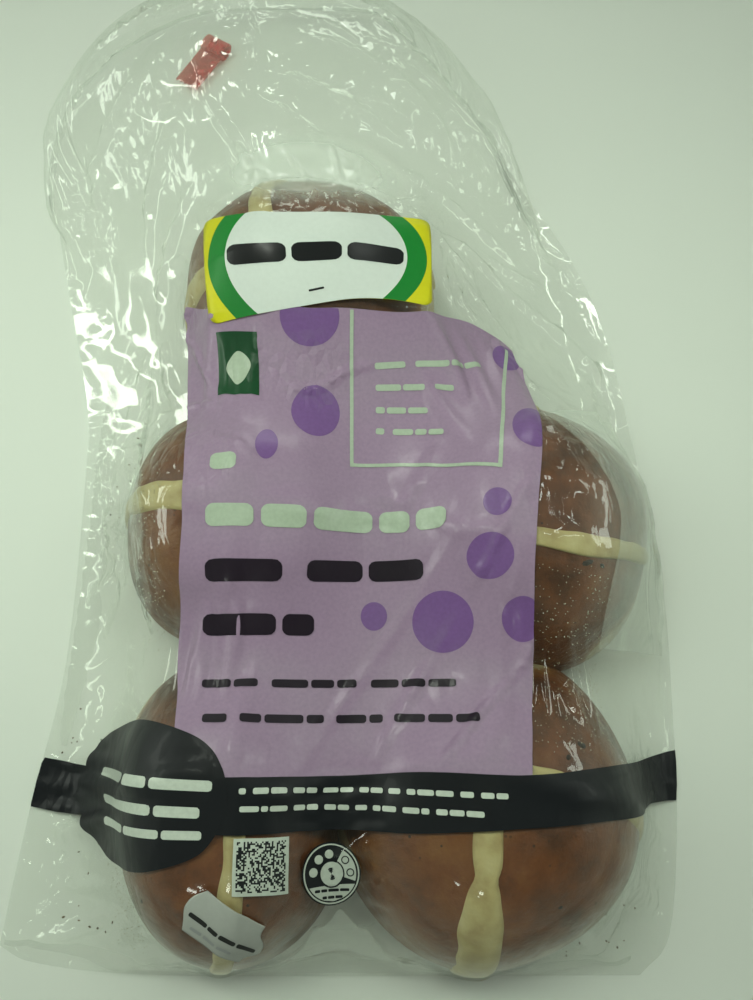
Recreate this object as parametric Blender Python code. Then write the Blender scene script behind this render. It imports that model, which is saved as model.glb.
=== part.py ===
"""A clear film bag of hot cross buns lying on its back, with its neck tape, promotion sticker and date label."""
import math

import bmesh
import bpy
import numpy as np
from mathutils import Matrix, Vector
from mathutils.bvhtree import BVHTree

# Driving dimensions, in metres. The origin is the middle of the bag's flat underside,
# +X is the bag's right side and +Y points to its gathered neck.
BAG_LENGTH = 0.3576
BAG_WIDTH = 0.2250
SEAM_HEIGHT = 0.0012
TOP_FOLD_HEIGHT = 0.0100
SIDE_FOLD_HEIGHT = 0.0080
PILLOW_START = 0.082
PILLOW_LIFT = 0.00016
MARGIN_PULL = 0.00007

BUN_DIAMETER = 0.087
BUN_HEIGHT = 0.049
BUN_SHOULDER = 2.7
BUN_CROWN = 2.1
FILM_THICKNESS = 0.0002

# Each bun: name, centre, width and length as shares of BUN_DIAMETER, height as a share of BUN_HEIGHT.
BUNS = (
    ("bottom_left", (-0.0285, -0.1280), (0.78, 1.05), 0.96),
    ("bottom_right", (0.0475, -0.1280), (1.07, 1.02), 1.00),
    ("middle_left", (-0.0258, -0.0420), (0.99, 0.98), 0.98),
    ("middle_right", (0.0610, -0.0456), (0.99, 0.99), 1.00),
    ("top", (-0.0089, 0.0450), (1.05, 0.97), 0.98),
)

# The bag's outline as it lies, as corners and the points its sides bend through.
BOTTOM_SIDE = ((-0.1004, -0.1704), (-0.0890, -0.1752), (-0.0538, -0.1785), (0.0220, -0.1788), (0.0950, -0.1786))
RIGHT_SIDE = (
    (0.0950, -0.1786),
    (0.1056, -0.1663),
    (0.1117, -0.1258),
    (0.1125, -0.0817),
    (0.1090, -0.0420),
    (0.0975, 0.0376),
    (0.0746, 0.0935),
    (0.0450, 0.1390),
    (0.0260, 0.1665),
)
TOP_SIDE = ((-0.0920, 0.1560), (-0.0640, 0.1735), (-0.0375, 0.1788), (0.0125, 0.1770), (0.0260, 0.1665))
LEFT_SIDE = (
    (-0.1004, -0.1704),
    (-0.0955, -0.1300),
    (-0.0890, -0.0850),
    (-0.0890, -0.0220),
    (-0.0915, 0.0084),
    (-0.1069, 0.0696),
    (-0.1125, 0.1000),
    (-0.1055, 0.1330),
    (-0.0920, 0.1560),
)
GRID_ACROSS = 40
GRID_ALONG = 64

PLATE_GAP = 0.0008
PAPER_THICKNESS = 0.0004
STICKER_SIZE = (0.0710, 0.0380)
STICKER_CENTRE = (-0.0030, 0.0330)
STICKER_TURN = -1.5
LABEL_SIZE = (0.0210, 0.0125)
LABEL_CENTRE = (-0.0255, -0.1560)
LABEL_TURN = -33.0
LABEL_WAVE = 0.0014

TAPE_WIDTH = 0.0100
TAPE_THICKNESS = 0.0008
TAPE_TAIL = 0.0180
TAPE_TEETH = 5
TAPE_TOOTH = 0.0012
COLLAR_WIDTH = 0.0080
COLLAR_HEIGHT = 0.0056
TAPE_CENTRE = (-0.0570, 0.1590)
TAPE_TURN = 59.0
TOUCH_GAP = 0.0003
RECESS_MARGIN = 0.0012


def clearScene():
    for thing in list(bpy.data.objects):
        bpy.data.objects.remove(thing, do_unlink=True)


def makeCollection(name):
    collection = bpy.data.collections.new(name)
    bpy.context.scene.collection.children.link(collection)
    return collection


def makeMaterial(name, colour, roughness, metallic=0.0, alpha=1.0):
    material = bpy.data.materials.new(name)
    material.use_nodes = True
    shader = material.node_tree.nodes["Principled BSDF"]
    shader.inputs["Base Color"].default_value = (*colour, 1.0)
    shader.inputs["Roughness"].default_value = roughness
    shader.inputs["Metallic"].default_value = metallic
    shader.inputs["Alpha"].default_value = alpha
    return material


def addObject(name, shape, material, collection):
    """A named object from a bmesh, with one material."""
    mesh = bpy.data.meshes.new(name)
    shape.to_mesh(mesh)
    shape.free()
    mesh.materials.append(material)
    thing = bpy.data.objects.new(name, mesh)
    collection.objects.link(thing)
    mesh.shade_smooth()
    mesh.set_sharp_from_angle(angle=math.radians(40))
    return thing


def smoothStep(value, low, high):
    share = np.clip((value - low) / (high - low), 0.0, 1.0)
    return share * share * (3.0 - 2.0 * share)


def smoothSide(points, count):
    """count + 1 evenly spaced points along a Catmull-Rom curve through the given ones."""
    knots = np.array(points)
    before = 2.0 * knots[0] - knots[1]
    after = 2.0 * knots[-1] - knots[-2]
    knots = np.vstack([before, knots, after])
    share = np.linspace(0.0, 1.0, 24, endpoint=False)[:, None]
    pieces = []
    for a, b, c, d in zip(knots[:-3], knots[1:-2], knots[2:-1], knots[3:]):
        linear = (c - a) * share
        square = (2.0 * a - 5.0 * b + 4.0 * c - d) * share**2
        cube = (3.0 * b - a - 3.0 * c + d) * share**3
        pieces.append(b + 0.5 * (linear + square + cube))
    curve = np.vstack([*pieces, knots[-2:-1]])
    reach = np.concatenate([[0.0], np.cumsum(np.linalg.norm(np.diff(curve, axis=0), axis=1))])
    wanted = np.linspace(0.0, reach[-1], count + 1)
    return np.column_stack([np.interp(wanted, reach, curve[:, axis]) for axis in (0, 1)])


def outlineGrid():
    """Plan positions of a grid that fills the outline, blended from its four sides."""
    bottom = smoothSide(BOTTOM_SIDE, GRID_ACROSS)[None, :, :]
    top = smoothSide(TOP_SIDE, GRID_ACROSS)[None, :, :]
    left = smoothSide(LEFT_SIDE, GRID_ALONG)[:, None, :]
    right = smoothSide(RIGHT_SIDE, GRID_ALONG)[:, None, :]
    across = np.linspace(0.0, 1.0, GRID_ACROSS + 1)[None, :, None]
    along = np.linspace(0.0, 1.0, GRID_ALONG + 1)[:, None, None]
    sides = (1 - across) * left + across * right
    ends = (1 - along) * bottom + along * top
    corners = (1 - along) * ((1 - across) * bottom[:, :1] + across * bottom[:, -1:])
    corners = corners + along * ((1 - across) * top[:, :1] + across * top[:, -1:])
    plan = sides + ends - corners
    low, high = plan.min(axis=(0, 1)), plan.max(axis=(0, 1))
    return (plan - 0.5 * (low + high)) * np.array([BAG_WIDTH, BAG_LENGTH]) / (high - low)


def bunHeights(plan):
    """Height of the highest bun's crust over each plan position, or zero between the buns."""
    highest = np.zeros(plan.shape[:2])
    for name, centre, (width, length), height in BUNS:
        offset = plan - np.array(centre)
        radii = 0.5 * BUN_DIAMETER * np.array([width, length])
        reach = np.hypot(offset[..., 0] / radii[0], offset[..., 1] / radii[1])
        dome = (1.0 - np.clip(reach, 0.0, 1.0) ** BUN_SHOULDER) ** (1.0 / BUN_CROWN)
        highest = np.maximum(highest, dome * height * BUN_HEIGHT)
    return highest


def edgeHeights(plan):
    """How high the film's edge lies: flat at the seam, higher at the folded top and beside the right bun."""
    topFold = smoothStep(plan[..., 1], 0.075, 0.150)
    rightFold = smoothStep(plan[..., 0], 0.06, 0.10) * smoothStep(plan[..., 1], -0.11, -0.05)
    lift = np.maximum(topFold * (TOP_FOLD_HEIGHT - SEAM_HEIGHT), rightFold * (SIDE_FOLD_HEIGHT - SEAM_HEIGHT))
    return SEAM_HEIGHT + lift


def filmHeights(plan):
    """Heights of a film laid tight over the buns: puffed up by air near the neck and pulled down at its margins."""
    floor = bunHeights(plan) + FILM_THICKNESS
    load = PILLOW_LIFT * smoothStep(plan[..., 1], PILLOW_START, PILLOW_START + 0.03)
    load = load - MARGIN_PULL * smoothStep(-plan[..., 1], -PILLOW_START, 0.0)
    height = np.maximum(floor, edgeHeights(plan))
    lowest = np.full(plan.shape[:2], SEAM_HEIGHT)
    for _ in range(4000):
        mean = height[:-2, 1:-1] + height[2:, 1:-1] + height[1:-1, :-2] + height[1:-1, 2:]
        relaxed = 0.25 * mean + load[1:-1, 1:-1]
        height[1:-1, 1:-1] = np.maximum.reduce([relaxed, floor[1:-1, 1:-1], lowest[1:-1, 1:-1]])
        height[0, :] = SEAM_HEIGHT
        height[:, 0] = edgeHeights(plan)[:, 0]
        height[:, -1] = edgeHeights(plan)[:, -1]
        height[-1, :] = edgeHeights(plan)[-1, :]
    return height


def makeBag(collection, material):
    """The closed bag as one solid: the lumpy film above, a low wall round its edge and a flat underside."""
    plan = outlineGrid()
    height = filmHeights(plan)
    shape = bmesh.new()
    bmesh.ops.create_grid(shape, x_segments=GRID_ACROSS, y_segments=GRID_ALONG, size=1.0)
    for vertex in shape.verts:
        column = round((vertex.co.x + 1.0) * 0.5 * GRID_ACROSS)
        row = round((vertex.co.y + 1.0) * 0.5 * GRID_ALONG)
        vertex.co = (*plan[row, column], height[row, column])
    rim = [edge for edge in shape.edges if edge.is_boundary]
    walls = bmesh.ops.extrude_edge_only(shape, edges=rim)["geom"]
    for vertex in (part for part in walls if isinstance(part, bmesh.types.BMVert)):
        vertex.co.z = 0.0
    bmesh.ops.holes_fill(shape, edges=[edge for edge in shape.edges if edge.is_boundary], sides=0)
    bmesh.ops.recalc_face_normals(shape, faces=shape.faces)
    return addObject("bag", shape, material, collection)


def surfaceTree(thing):
    """A ray-casting tree of an object's own mesh."""
    mesh = thing.data
    points = [vertex.co for vertex in mesh.vertices]
    return BVHTree.FromPolygons(points, [face.vertices for face in mesh.polygons])


def layPlate(name, tree, centre, turn, outline, cells, material, collection):
    """A thin plate pressed onto the film: outline gives a plan point for shares across and down its sheet."""
    above = Vector((*centre, 0.2))
    touch, normal, _, _ = tree.ray_cast(above, Vector((0, 0, -1)))
    along = Vector((math.cos(math.radians(turn)), math.sin(math.radians(turn)), 0.0))
    along = (along - normal * along.dot(normal)).normalized()
    down = normal.cross(along)
    shape = bmesh.new()
    bmesh.ops.create_grid(shape, x_segments=cells[0], y_segments=cells[1], size=1.0)
    for vertex in shape.verts:
        across, upward = outline((vertex.co.x + 1.0) * 0.5, (vertex.co.y + 1.0) * 0.5)
        start = touch + along * across + down * upward + normal * 0.03
        hit, _, _, _ = tree.ray_cast(start, -normal)
        vertex.co = hit + normal * PLATE_GAP
    below = list(shape.faces)
    raised = bmesh.ops.extrude_face_region(shape, geom=below)["geom"]
    bmesh.ops.translate(
        shape,
        verts=[part for part in raised if isinstance(part, bmesh.types.BMVert)],
        vec=normal * PAPER_THICKNESS,
    )
    bmesh.ops.recalc_face_normals(shape, faces=shape.faces)
    return addObject(name, shape, material, collection)


def stickerOutline(across, upward):
    width, length = STICKER_SIZE
    return (across - 0.5) * width, (upward - 0.5) * length


def labelOutline(across, upward):
    """A price-gun label: both ends follow the same wave, so labels nest on their roll."""
    width, length = LABEL_SIZE
    wave = LABEL_WAVE * math.sin(2.0 * math.pi * upward)
    return (across - 0.5) * width + wave, (upward - 0.5) * length


def tapePlace():
    turn = Matrix.Rotation(math.radians(TAPE_TURN), 4, "Z")
    return Matrix.Translation((*TAPE_CENTRE, TOUCH_GAP)) @ turn


def makeTapeTail():
    """The tape's flag: a flat tail along -X with a zigzag cut end, lying at the collar's mid height."""
    half = 0.5 * TAPE_WIDTH
    start = -0.5 * (TAPE_TAIL + COLLAR_WIDTH)
    joint = start + TAPE_TAIL + 0.001
    corners = [(joint, -half), (joint, half)]
    for step in range(2 * TAPE_TEETH + 1):
        side = half - TAPE_WIDTH * step / (2 * TAPE_TEETH)
        corners.append((start + (TAPE_TOOTH if step % 2 else 0.0), side))
    middle = 0.5 * COLLAR_HEIGHT
    shape = bmesh.new()
    rim = [shape.verts.new((x, y, middle - 0.5 * TAPE_THICKNESS)) for x, y in corners]
    face = shape.faces.new(rim)
    raised = bmesh.ops.extrude_face_region(shape, geom=[face])["geom"]
    bmesh.ops.translate(
        shape,
        verts=[part for part in raised if isinstance(part, bmesh.types.BMVert)],
        vec=(0, 0, TAPE_THICKNESS),
    )
    bmesh.ops.recalc_face_normals(shape, faces=shape.faces)
    return shape


def makeTube(radii, length, centre):
    """A closed elliptical cylinder lying along Y."""
    shape = bmesh.new()
    bmesh.ops.create_cone(
        shape, cap_ends=True, segments=32, radius1=1.0, radius2=1.0, depth=length
    )
    bmesh.ops.rotate(shape, verts=shape.verts, matrix=Matrix.Rotation(math.radians(90), 3, "X"))
    bmesh.ops.scale(shape, verts=shape.verts, vec=(radii[0], 1.0, radii[1]))
    bmesh.ops.translate(shape, verts=shape.verts, vec=centre)
    return shape


def cutWith(thing, cutter, operation):
    boolean = thing.modifiers.new(operation.title(), "BOOLEAN")
    boolean.operation = operation
    boolean.solver = "EXACT"
    boolean.object = cutter
    cutter.hide_render = True
    cutter.display_type = "WIRE"


def makeNeckTape(collection, guides, material):
    """The red tape that closes the neck: a collar round the gathered film and a flat tail."""
    middle = (0.5 * TAPE_TAIL, 0.0, 0.5 * COLLAR_HEIGHT)
    outer = (0.5 * COLLAR_WIDTH, 0.5 * COLLAR_HEIGHT)
    inner = (outer[0] - TAPE_THICKNESS, outer[1] - TAPE_THICKNESS)
    collar = addObject("collar_guide", makeTube(outer, TAPE_WIDTH, middle), material, guides)
    hole = addObject("collar_hole_guide", makeTube(inner, 2 * TAPE_WIDTH, middle), material, guides)
    tape = addObject("neck_tape", makeTapeTail(), material, collection)
    for thing in (tape, collar, hole):
        thing.data.transform(tapePlace())
    cutWith(tape, collar, "UNION")
    cutWith(tape, hole, "DIFFERENCE")
    return tape


def cutTapeRecess(bag, guides, material):
    """A pocket in the bag's underside, where the folded neck and its tape lie."""
    shape = bmesh.new()
    bmesh.ops.create_cube(shape, size=1.0)
    size = (
        TAPE_TAIL + COLLAR_WIDTH + 2 * RECESS_MARGIN,
        TAPE_WIDTH + 2 * RECESS_MARGIN,
        2 * (COLLAR_HEIGHT + 2 * TOUCH_GAP),
    )
    bmesh.ops.scale(shape, verts=shape.verts, vec=size)
    recess = addObject("recess_guide", shape, material, guides)
    recess.data.transform(tapePlace())
    cutWith(bag, recess, "DIFFERENCE")


def main():
    clearScene()
    parts = makeCollection("hot_cross_bun_bag")
    guides = makeCollection("guides")
    film = makeMaterial("clear_film", (0.62, 0.66, 0.58), 0.20, alpha=0.6)
    paper = makeMaterial("sticker_paper", (0.72, 0.80, 0.72), 0.35)
    red = makeMaterial("red_tape", (0.72, 0.10, 0.10), 0.35)
    bag = makeBag(parts, film)
    tree = surfaceTree(bag)
    layPlate("promotion_sticker", tree, STICKER_CENTRE, STICKER_TURN, stickerOutline, (20, 12), paper, parts)
    layPlate("date_label", tree, LABEL_CENTRE, LABEL_TURN, labelOutline, (6, 8), paper, parts)
    makeNeckTape(parts, guides, red)
    cutTapeRecess(bag, guides, film)


main()
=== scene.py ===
import math

import bmesh
import bpy
import numpy as np
from mathutils import Euler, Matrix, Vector
from mathutils.bvhtree import BVHTree


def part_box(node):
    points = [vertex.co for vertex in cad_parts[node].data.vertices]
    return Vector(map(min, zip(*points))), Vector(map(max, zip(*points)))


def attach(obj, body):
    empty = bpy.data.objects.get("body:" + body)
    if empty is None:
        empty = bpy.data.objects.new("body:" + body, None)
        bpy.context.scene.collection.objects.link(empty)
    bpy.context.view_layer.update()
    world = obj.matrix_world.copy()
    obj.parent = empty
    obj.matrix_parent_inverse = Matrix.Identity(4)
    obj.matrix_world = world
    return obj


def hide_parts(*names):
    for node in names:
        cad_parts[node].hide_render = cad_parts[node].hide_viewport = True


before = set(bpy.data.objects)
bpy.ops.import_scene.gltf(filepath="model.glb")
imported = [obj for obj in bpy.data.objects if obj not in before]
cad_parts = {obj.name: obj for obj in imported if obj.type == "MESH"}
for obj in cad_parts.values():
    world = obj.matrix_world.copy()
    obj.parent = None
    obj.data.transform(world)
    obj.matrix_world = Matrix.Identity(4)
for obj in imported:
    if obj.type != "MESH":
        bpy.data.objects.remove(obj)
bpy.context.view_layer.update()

# Sizes are in metres, in the bag's own frame: +Y runs to the folded neck, +Z is up.


# small helpers

def smoothStep(value, low, high):
    share = np.clip((value - low) / (high - low), 0.0, 1.0)
    return share * share * (3.0 - 2.0 * share)


def noiseField(random, shape, cells):
    # a smooth random field over a grid, with about this many bumps each way
    values = random.standard_normal((cells[0] + 2, cells[1] + 2))

    def steps(count, bumps):
        place = np.linspace(0.0, bumps, count)
        whole = np.minimum(place.astype(int), bumps)
        part = place - whole
        return whole, part * part * (3.0 - 2.0 * part)

    row, down = steps(shape[0], cells[0])
    column, over = steps(shape[1], cells[1])
    down = down[:, None]
    over = over[None, :]
    near = values[row][:, column] * (1 - over) + values[row][:, column + 1] * over
    far = values[row + 1][:, column] * (1 - over) + values[row + 1][:, column + 1] * over
    return near * (1 - down) + far * down


def gridFaces(rows, columns, ring=False):
    # quads of a rows x columns grid of points; a ring joins the last column to the first
    row, column = np.meshgrid(np.arange(rows - 1), np.arange(columns if ring else columns - 1), indexing="ij")
    beside = (column + 1) % columns
    here, above = row * columns, (row + 1) * columns
    return np.stack((here + column, here + beside, above + beside, above + column), axis=-1).reshape(-1, 4)


def makePiece(name, points, faces, materials, slots=None):
    mesh = bpy.data.meshes.new(name)
    mesh.from_pydata(np.asarray(points).reshape(-1, 3).tolist(), [], np.asarray(faces).tolist())
    for material in materials:
        mesh.materials.append(material)
    if slots is not None:
        mesh.polygons.foreach_set("material_index", np.asarray(slots, dtype=np.int32))
    mesh.shade_smooth()
    mesh.update()
    piece = bpy.data.objects.new(name, mesh)
    bpy.context.scene.collection.objects.link(piece)
    return piece


def keep(piece, slot, *nodes):
    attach(piece, "root")
    if nodes:
        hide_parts(*nodes)
    return piece


# materials

def newMaterial(name):
    material = bpy.data.materials.new(name)
    material.use_nodes = True
    tree = material.node_tree
    tree.nodes.clear()
    output = tree.nodes.new("ShaderNodeOutputMaterial")
    return material, tree, output


def addNode(tree, kind, **values):
    node = tree.nodes.new(kind)
    for key, value in values.items():
        setattr(node, key, value)
    return node


def feed(tree, value, socket):
    # a link from another node's output, a colour or a number
    if isinstance(value, bpy.types.NodeSocket):
        tree.links.new(value, socket)
    elif isinstance(value, tuple):
        socket.default_value = (*value, 1.0)
    else:
        socket.default_value = value


def mathValue(tree, operation, *values):
    node = addNode(tree, "ShaderNodeMath", operation=operation)
    for socket, value in zip(node.inputs, values):
        feed(tree, value, socket)
    return node.outputs["Value"]


def surface(tree, kind, colour):
    node = addNode(tree, kind)
    feed(tree, colour, node.inputs["Color"])
    return node.outputs["BSDF"]


def mixed(tree, share, first, second):
    node = addNode(tree, "ShaderNodeMixShader")
    for socket, value in zip(node.inputs, (share, first, second)):
        feed(tree, value, socket)
    return node.outputs["Shader"]


def objectNoise(tree, scale, detail=3.0, stretch=(1, 1, 1), roughness=0.5):
    place = addNode(tree, "ShaderNodeTexCoord")
    mapping = addNode(tree, "ShaderNodeMapping")
    mapping.inputs["Scale"].default_value = stretch
    noise = addNode(tree, "ShaderNodeTexNoise")
    noise.inputs["Scale"].default_value = scale
    noise.inputs["Detail"].default_value = detail
    noise.inputs["Roughness"].default_value = roughness
    tree.links.new(place.outputs["Object"], mapping.inputs["Vector"])
    tree.links.new(mapping.outputs["Vector"], noise.inputs["Vector"])
    return noise.outputs["Fac"]


def ramp(tree, source, stops):
    node = addNode(tree, "ShaderNodeValToRGB")
    band = node.color_ramp
    while len(band.elements) < len(stops):
        band.elements.new(0.5)
    for element, (place, colour) in zip(band.elements, stops):
        element.position = place
        element.color = (*colour, 1.0) if len(colour) == 3 else colour
    tree.links.new(source, node.inputs["Fac"])
    return node.outputs["Color"]


def bumped(tree, height, distance, strength=1.0, after=None):
    node = addNode(tree, "ShaderNodeBump")
    node.inputs["Distance"].default_value = distance
    node.inputs["Strength"].default_value = strength
    tree.links.new(height, node.inputs["Height"])
    if after is not None:
        tree.links.new(after, node.inputs["Normal"])
    return node.outputs["Normal"]


def creaseBump(tree, scale, distance, stretch=(1, 1, 1), after=None, layer=None):
    # fine crinkles: ridges where the cells of a random pattern meet, as strong as the attribute layer says
    place = addNode(tree, "ShaderNodeTexCoord")
    mapping = addNode(tree, "ShaderNodeMapping")
    mapping.inputs["Scale"].default_value = stretch
    tree.links.new(place.outputs["Object"], mapping.inputs["Vector"])
    cells = addNode(tree, "ShaderNodeTexVoronoi", feature="DISTANCE_TO_EDGE")
    cells.inputs["Scale"].default_value = scale
    cells.inputs["Randomness"].default_value = 1.0
    tree.links.new(mapping.outputs["Vector"], cells.inputs["Vector"])
    height = cells.outputs["Distance"]
    if layer is not None:
        strength = addNode(tree, "ShaderNodeAttribute", attribute_name=layer)
        height = mathValue(tree, "MULTIPLY", height, strength.outputs["Fac"])
    return bumped(tree, height, distance, after=after)


filmLook = {
    "clear": (0.995, 0.997, 0.991),   # what the film lets through, seen straight on
    "slanting": (0.91, 0.93, 0.90),   # and where it slants away
    "passing": (0.99, 0.991, 0.988),  # what light loses on its way to the food
    "haze": (0.74, 0.77, 0.72),       # its faint milkiness
    "mirror": 0.047,                  # reflection of both its faces, seen straight on
    "edgeMirror": 0.60,               # and what its slanting parts add
    "steepness": 4.5,                 # how late that sets in
    "roughness": 0.07,
    "crease": 0.00035,
    "crumple": 0.0015,
}


def filmBump(tree):
    normal = creaseBump(tree, 95.0, filmLook["crease"], stretch=(1.0, 0.45, 1.0))
    finer = (1.0, 0.6, 1.0)
    return creaseBump(tree, 230.0, filmLook["crumple"], stretch=finer, after=normal, layer="crumple")


def clearFilm(name, crinkled=True):
    # see-through skin: milky by the "milk" attribute, shinier where it slants away from the eye
    material, tree, output = newMaterial(name)
    slant = addNode(tree, "ShaderNodeLayerWeight")
    slant.inputs["Blend"].default_value = 0.5
    shine = addNode(tree, "ShaderNodeBsdfAnisotropic")
    shine.inputs["Color"].default_value = (1.0, 1.0, 1.0, 1.0)
    shine.inputs["Roughness"].default_value = filmLook["roughness"]
    if crinkled:
        normal = filmBump(tree)
        tree.links.new(normal, slant.inputs["Normal"])
        tree.links.new(normal, shine.inputs["Normal"])
    facing = slant.outputs["Facing"]
    tint = ramp(tree, facing, [(0.25, filmLook["clear"]), (0.95, filmLook["slanting"])])
    through = surface(tree, "ShaderNodeBsdfTransparent", tint)
    milk = surface(tree, "ShaderNodeBsdfDiffuse", filmLook["haze"])
    amount = addNode(tree, "ShaderNodeAttribute", attribute_name="milk")
    body = mixed(tree, amount.outputs["Fac"], through, milk)
    steep = mathValue(tree, "POWER", facing, filmLook["steepness"])
    mirror = mathValue(tree, "MULTIPLY_ADD", steep, filmLook["edgeMirror"], filmLook["mirror"])
    skin = mixed(tree, mirror, body, shine.outputs["BSDF"])
    # light passes straight through to what lies under the film
    rays = addNode(tree, "ShaderNodeLightPath")
    passing = surface(tree, "ShaderNodeBsdfTransparent", filmLook["passing"])
    lit = mixed(tree, rays.outputs["Is Shadow Ray"], skin, passing)
    tree.links.new(lit, output.inputs["Surface"])
    return material


def plainMaterial(name, tone, grain, roughness, relief=None, coat=0.0, coatRoughness=0.03, specular=0.5):
    # a solid surface: tone is its colour ramp over a noise of grain (scale, detail), and relief
    # (scale, detail, depth) is a noise that raises it
    material, tree, output = newMaterial(name)
    shader = addNode(tree, "ShaderNodeBsdfPrincipled")
    tree.links.new(ramp(tree, objectNoise(tree, *grain), tone), shader.inputs["Base Color"])
    shader.inputs["Roughness"].default_value = roughness
    shader.inputs["Coat Weight"].default_value = coat
    shader.inputs["Coat Roughness"].default_value = coatRoughness
    shader.inputs["Specular IOR Level"].default_value = specular
    if relief is not None:
        scale, detail, depth = relief
        tree.links.new(bumped(tree, objectNoise(tree, scale, detail), depth), shader.inputs["Normal"])
    tree.links.new(shader.outputs["BSDF"], output.inputs["Surface"])
    return material, tree, shader


def inkMaterial(name, colour, roughness=0.34, coat=0.15, mottle=0.05):
    darker = tuple(channel * (1.0 - mottle) for channel in colour)
    lighter = tuple(min(1.0, channel * (1.0 + mottle)) for channel in colour)
    tone = [(0.30, darker), (0.70, lighter)]
    material, tree, shader = plainMaterial(
        name, tone, (900.0, 2.0), roughness, coat=coat, coatRoughness=0.10, specular=0.30
    )
    normal = filmBump(tree)
    tree.links.new(normal, shader.inputs["Normal"])
    tree.links.new(normal, shader.inputs["Coat Normal"])
    return material


def paperMaterial(name, colour, roughness=0.45, coat=0.0):
    tone = [(0.3, tuple(channel * 0.96 for channel in colour)), (0.7, colour)]
    relief = (450.0, 4.0, 0.00008)
    return plainMaterial(
        name, tone, (700.0, 3.0), roughness, relief, coat, coatRoughness=0.2, specular=0.30
    )[0]


crustLook = {
    "dark": (0.066, 0.024, 0.010),
    "brown": (0.150, 0.048, 0.015),
    "golden": (0.250, 0.112, 0.036),
    "pale": (0.420, 0.330, 0.190),
    "speck": (0.030, 0.018, 0.012),
}


def crustMaterial():
    # the bake attribute runs from 0, deep brown, to 1, the pale crumb where buns were joined
    material, tree, output = newMaterial("glazedCrust")
    shader = addNode(tree, "ShaderNodeBsdfPrincipled")
    bake = addNode(tree, "ShaderNodeAttribute", attribute_name="bake")
    patchy = mathValue(tree, "MULTIPLY_ADD", objectNoise(tree, 34.0, 3.0), 0.55, bake.outputs["Fac"])
    fine = objectNoise(tree, 120.0, 6.0, roughness=0.66)
    mottled = mathValue(tree, "MULTIPLY_ADD", fine, 0.50, patchy)
    tone = ramp(
        tree,
        mottled,
        [
            (0.42, crustLook["dark"]),
            (0.58, crustLook["brown"]),
            (0.86, crustLook["golden"]),
            (1.0, crustLook["pale"]),
        ],
    )
    place = addNode(tree, "ShaderNodeTexCoord")
    spots = addNode(tree, "ShaderNodeTexVoronoi")
    spots.inputs["Scale"].default_value = 330.0
    tree.links.new(place.outputs["Object"], spots.inputs["Vector"])
    spice = ramp(tree, spots.outputs["Distance"], [(0.10, (1, 1, 1)), (0.17, (0, 0, 0))])
    sparse = ramp(tree, objectNoise(tree, 60.0, 2.0), [(0.52, (0, 0, 0)), (0.62, (1, 1, 1))])
    mix = addNode(tree, "ShaderNodeMix", data_type="RGBA")
    tree.links.new(mathValue(tree, "MULTIPLY", spice, sparse), mix.inputs["Factor"])
    tree.links.new(tone, mix.inputs["A"])
    mix.inputs["B"].default_value = (*crustLook["speck"], 1.0)
    tree.links.new(mix.outputs["Result"], shader.inputs["Base Color"])
    gloss = ramp(tree, objectNoise(tree, 140.0, 3.0), [(0.3, (0.28,) * 3), (0.7, (0.52,) * 3)])
    tree.links.new(gloss, shader.inputs["Roughness"])
    skin = bumped(tree, objectNoise(tree, 260.0, 5.0, roughness=0.6), 0.0006)
    skin = bumped(tree, objectNoise(tree, 70.0, 2.0), 0.0012, after=skin)
    tree.links.new(skin, shader.inputs["Normal"])
    tree.links.new(shader.outputs["BSDF"], output.inputs["Surface"])
    return material


def pasteMaterial():
    tone = [(0.30, (0.34, 0.245, 0.105)), (0.52, (0.46, 0.37, 0.175)), (0.75, (0.52, 0.44, 0.23))]
    material, _, shader = plainMaterial("crossPaste", tone, (130.0, 4.0), 0.55, (240.0, 4.0, 0.0005))
    shader.inputs["Subsurface Weight"].default_value = 0.08
    shader.inputs["Subsurface Radius"].default_value = (0.003, 0.002, 0.001)
    return material


def fruitMaterial():
    tone = [(0.3, (0.012, 0.008, 0.007)), (0.7, (0.035, 0.020, 0.013))]
    return plainMaterial("sultana", tone, (500.0, 3.0), 0.42, (600.0, 3.0, 0.0005))[0]


# the buns

bunKit = {
    "corners": 2.3,       # 2 is a round plan, more is squarer
    "shoulder": 2.7,
    "crown": 2.1,
    "widest": 0.28,       # share of the height where the side turns in
    "foot": 0.86,         # radius at the table, as a share
    "unevenness": 0.035,
    "pasteThickness": 0.0014,
    "middle": 0.30,       # height, as a share, that the crust's directions start from
}

# spin turns the plan and lean tips the bun, in degrees; cross is its middle from the bun's centre, turned by
# turn degrees; torn sides are (angle, width) in degrees where a neighbour was pulled away
buns = {
    "bottomLeft": dict(
        centre=(-0.0285, -0.1280), radii=(0.0340, 0.0455), height=0.0465, spin=4, lean=(2, 0),
        cross=(0.0062, 0.010), turn=-2, crossWidth=0.0060, torn=((150, 30), (80, 25))),
    "bottomRight": dict(
        centre=(0.0475, -0.1280), radii=(0.0465, 0.0440), height=0.0485, spin=22, lean=(1, 0),
        cross=(-0.0015, 0.013), turn=-7.6, crossWidth=0.0085, torn=((95, 40), (185, 30)), dropped="twice"),
    "middleLeft": dict(
        centre=(-0.0258, -0.0420), radii=(0.0430, 0.0425), height=0.0475, spin=6, lean=(0, -1),
        cross=(0.0, 0.0005), turn=-4, crossWidth=0.0085, torn=((262, 22), (10, 40))),
    "middleRight": dict(
        centre=(0.0610, -0.0456), radii=(0.0425, 0.0435), height=0.0485, spin=-20, lean=(0, 4),
        cross=(-0.010, -0.0065), turn=-9, crossWidth=0.0058, torn=((318, 30), (190, 40))),
    "top": dict(
        centre=(-0.0089, 0.0425), radii=(0.0455, 0.0425), height=0.0475, spin=0, lean=(2, -1),
        cross=(-0.010, 0.0), turn=11, crossWidth=0.0095, torn=((270, 40), (0, 40))),
}


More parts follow.
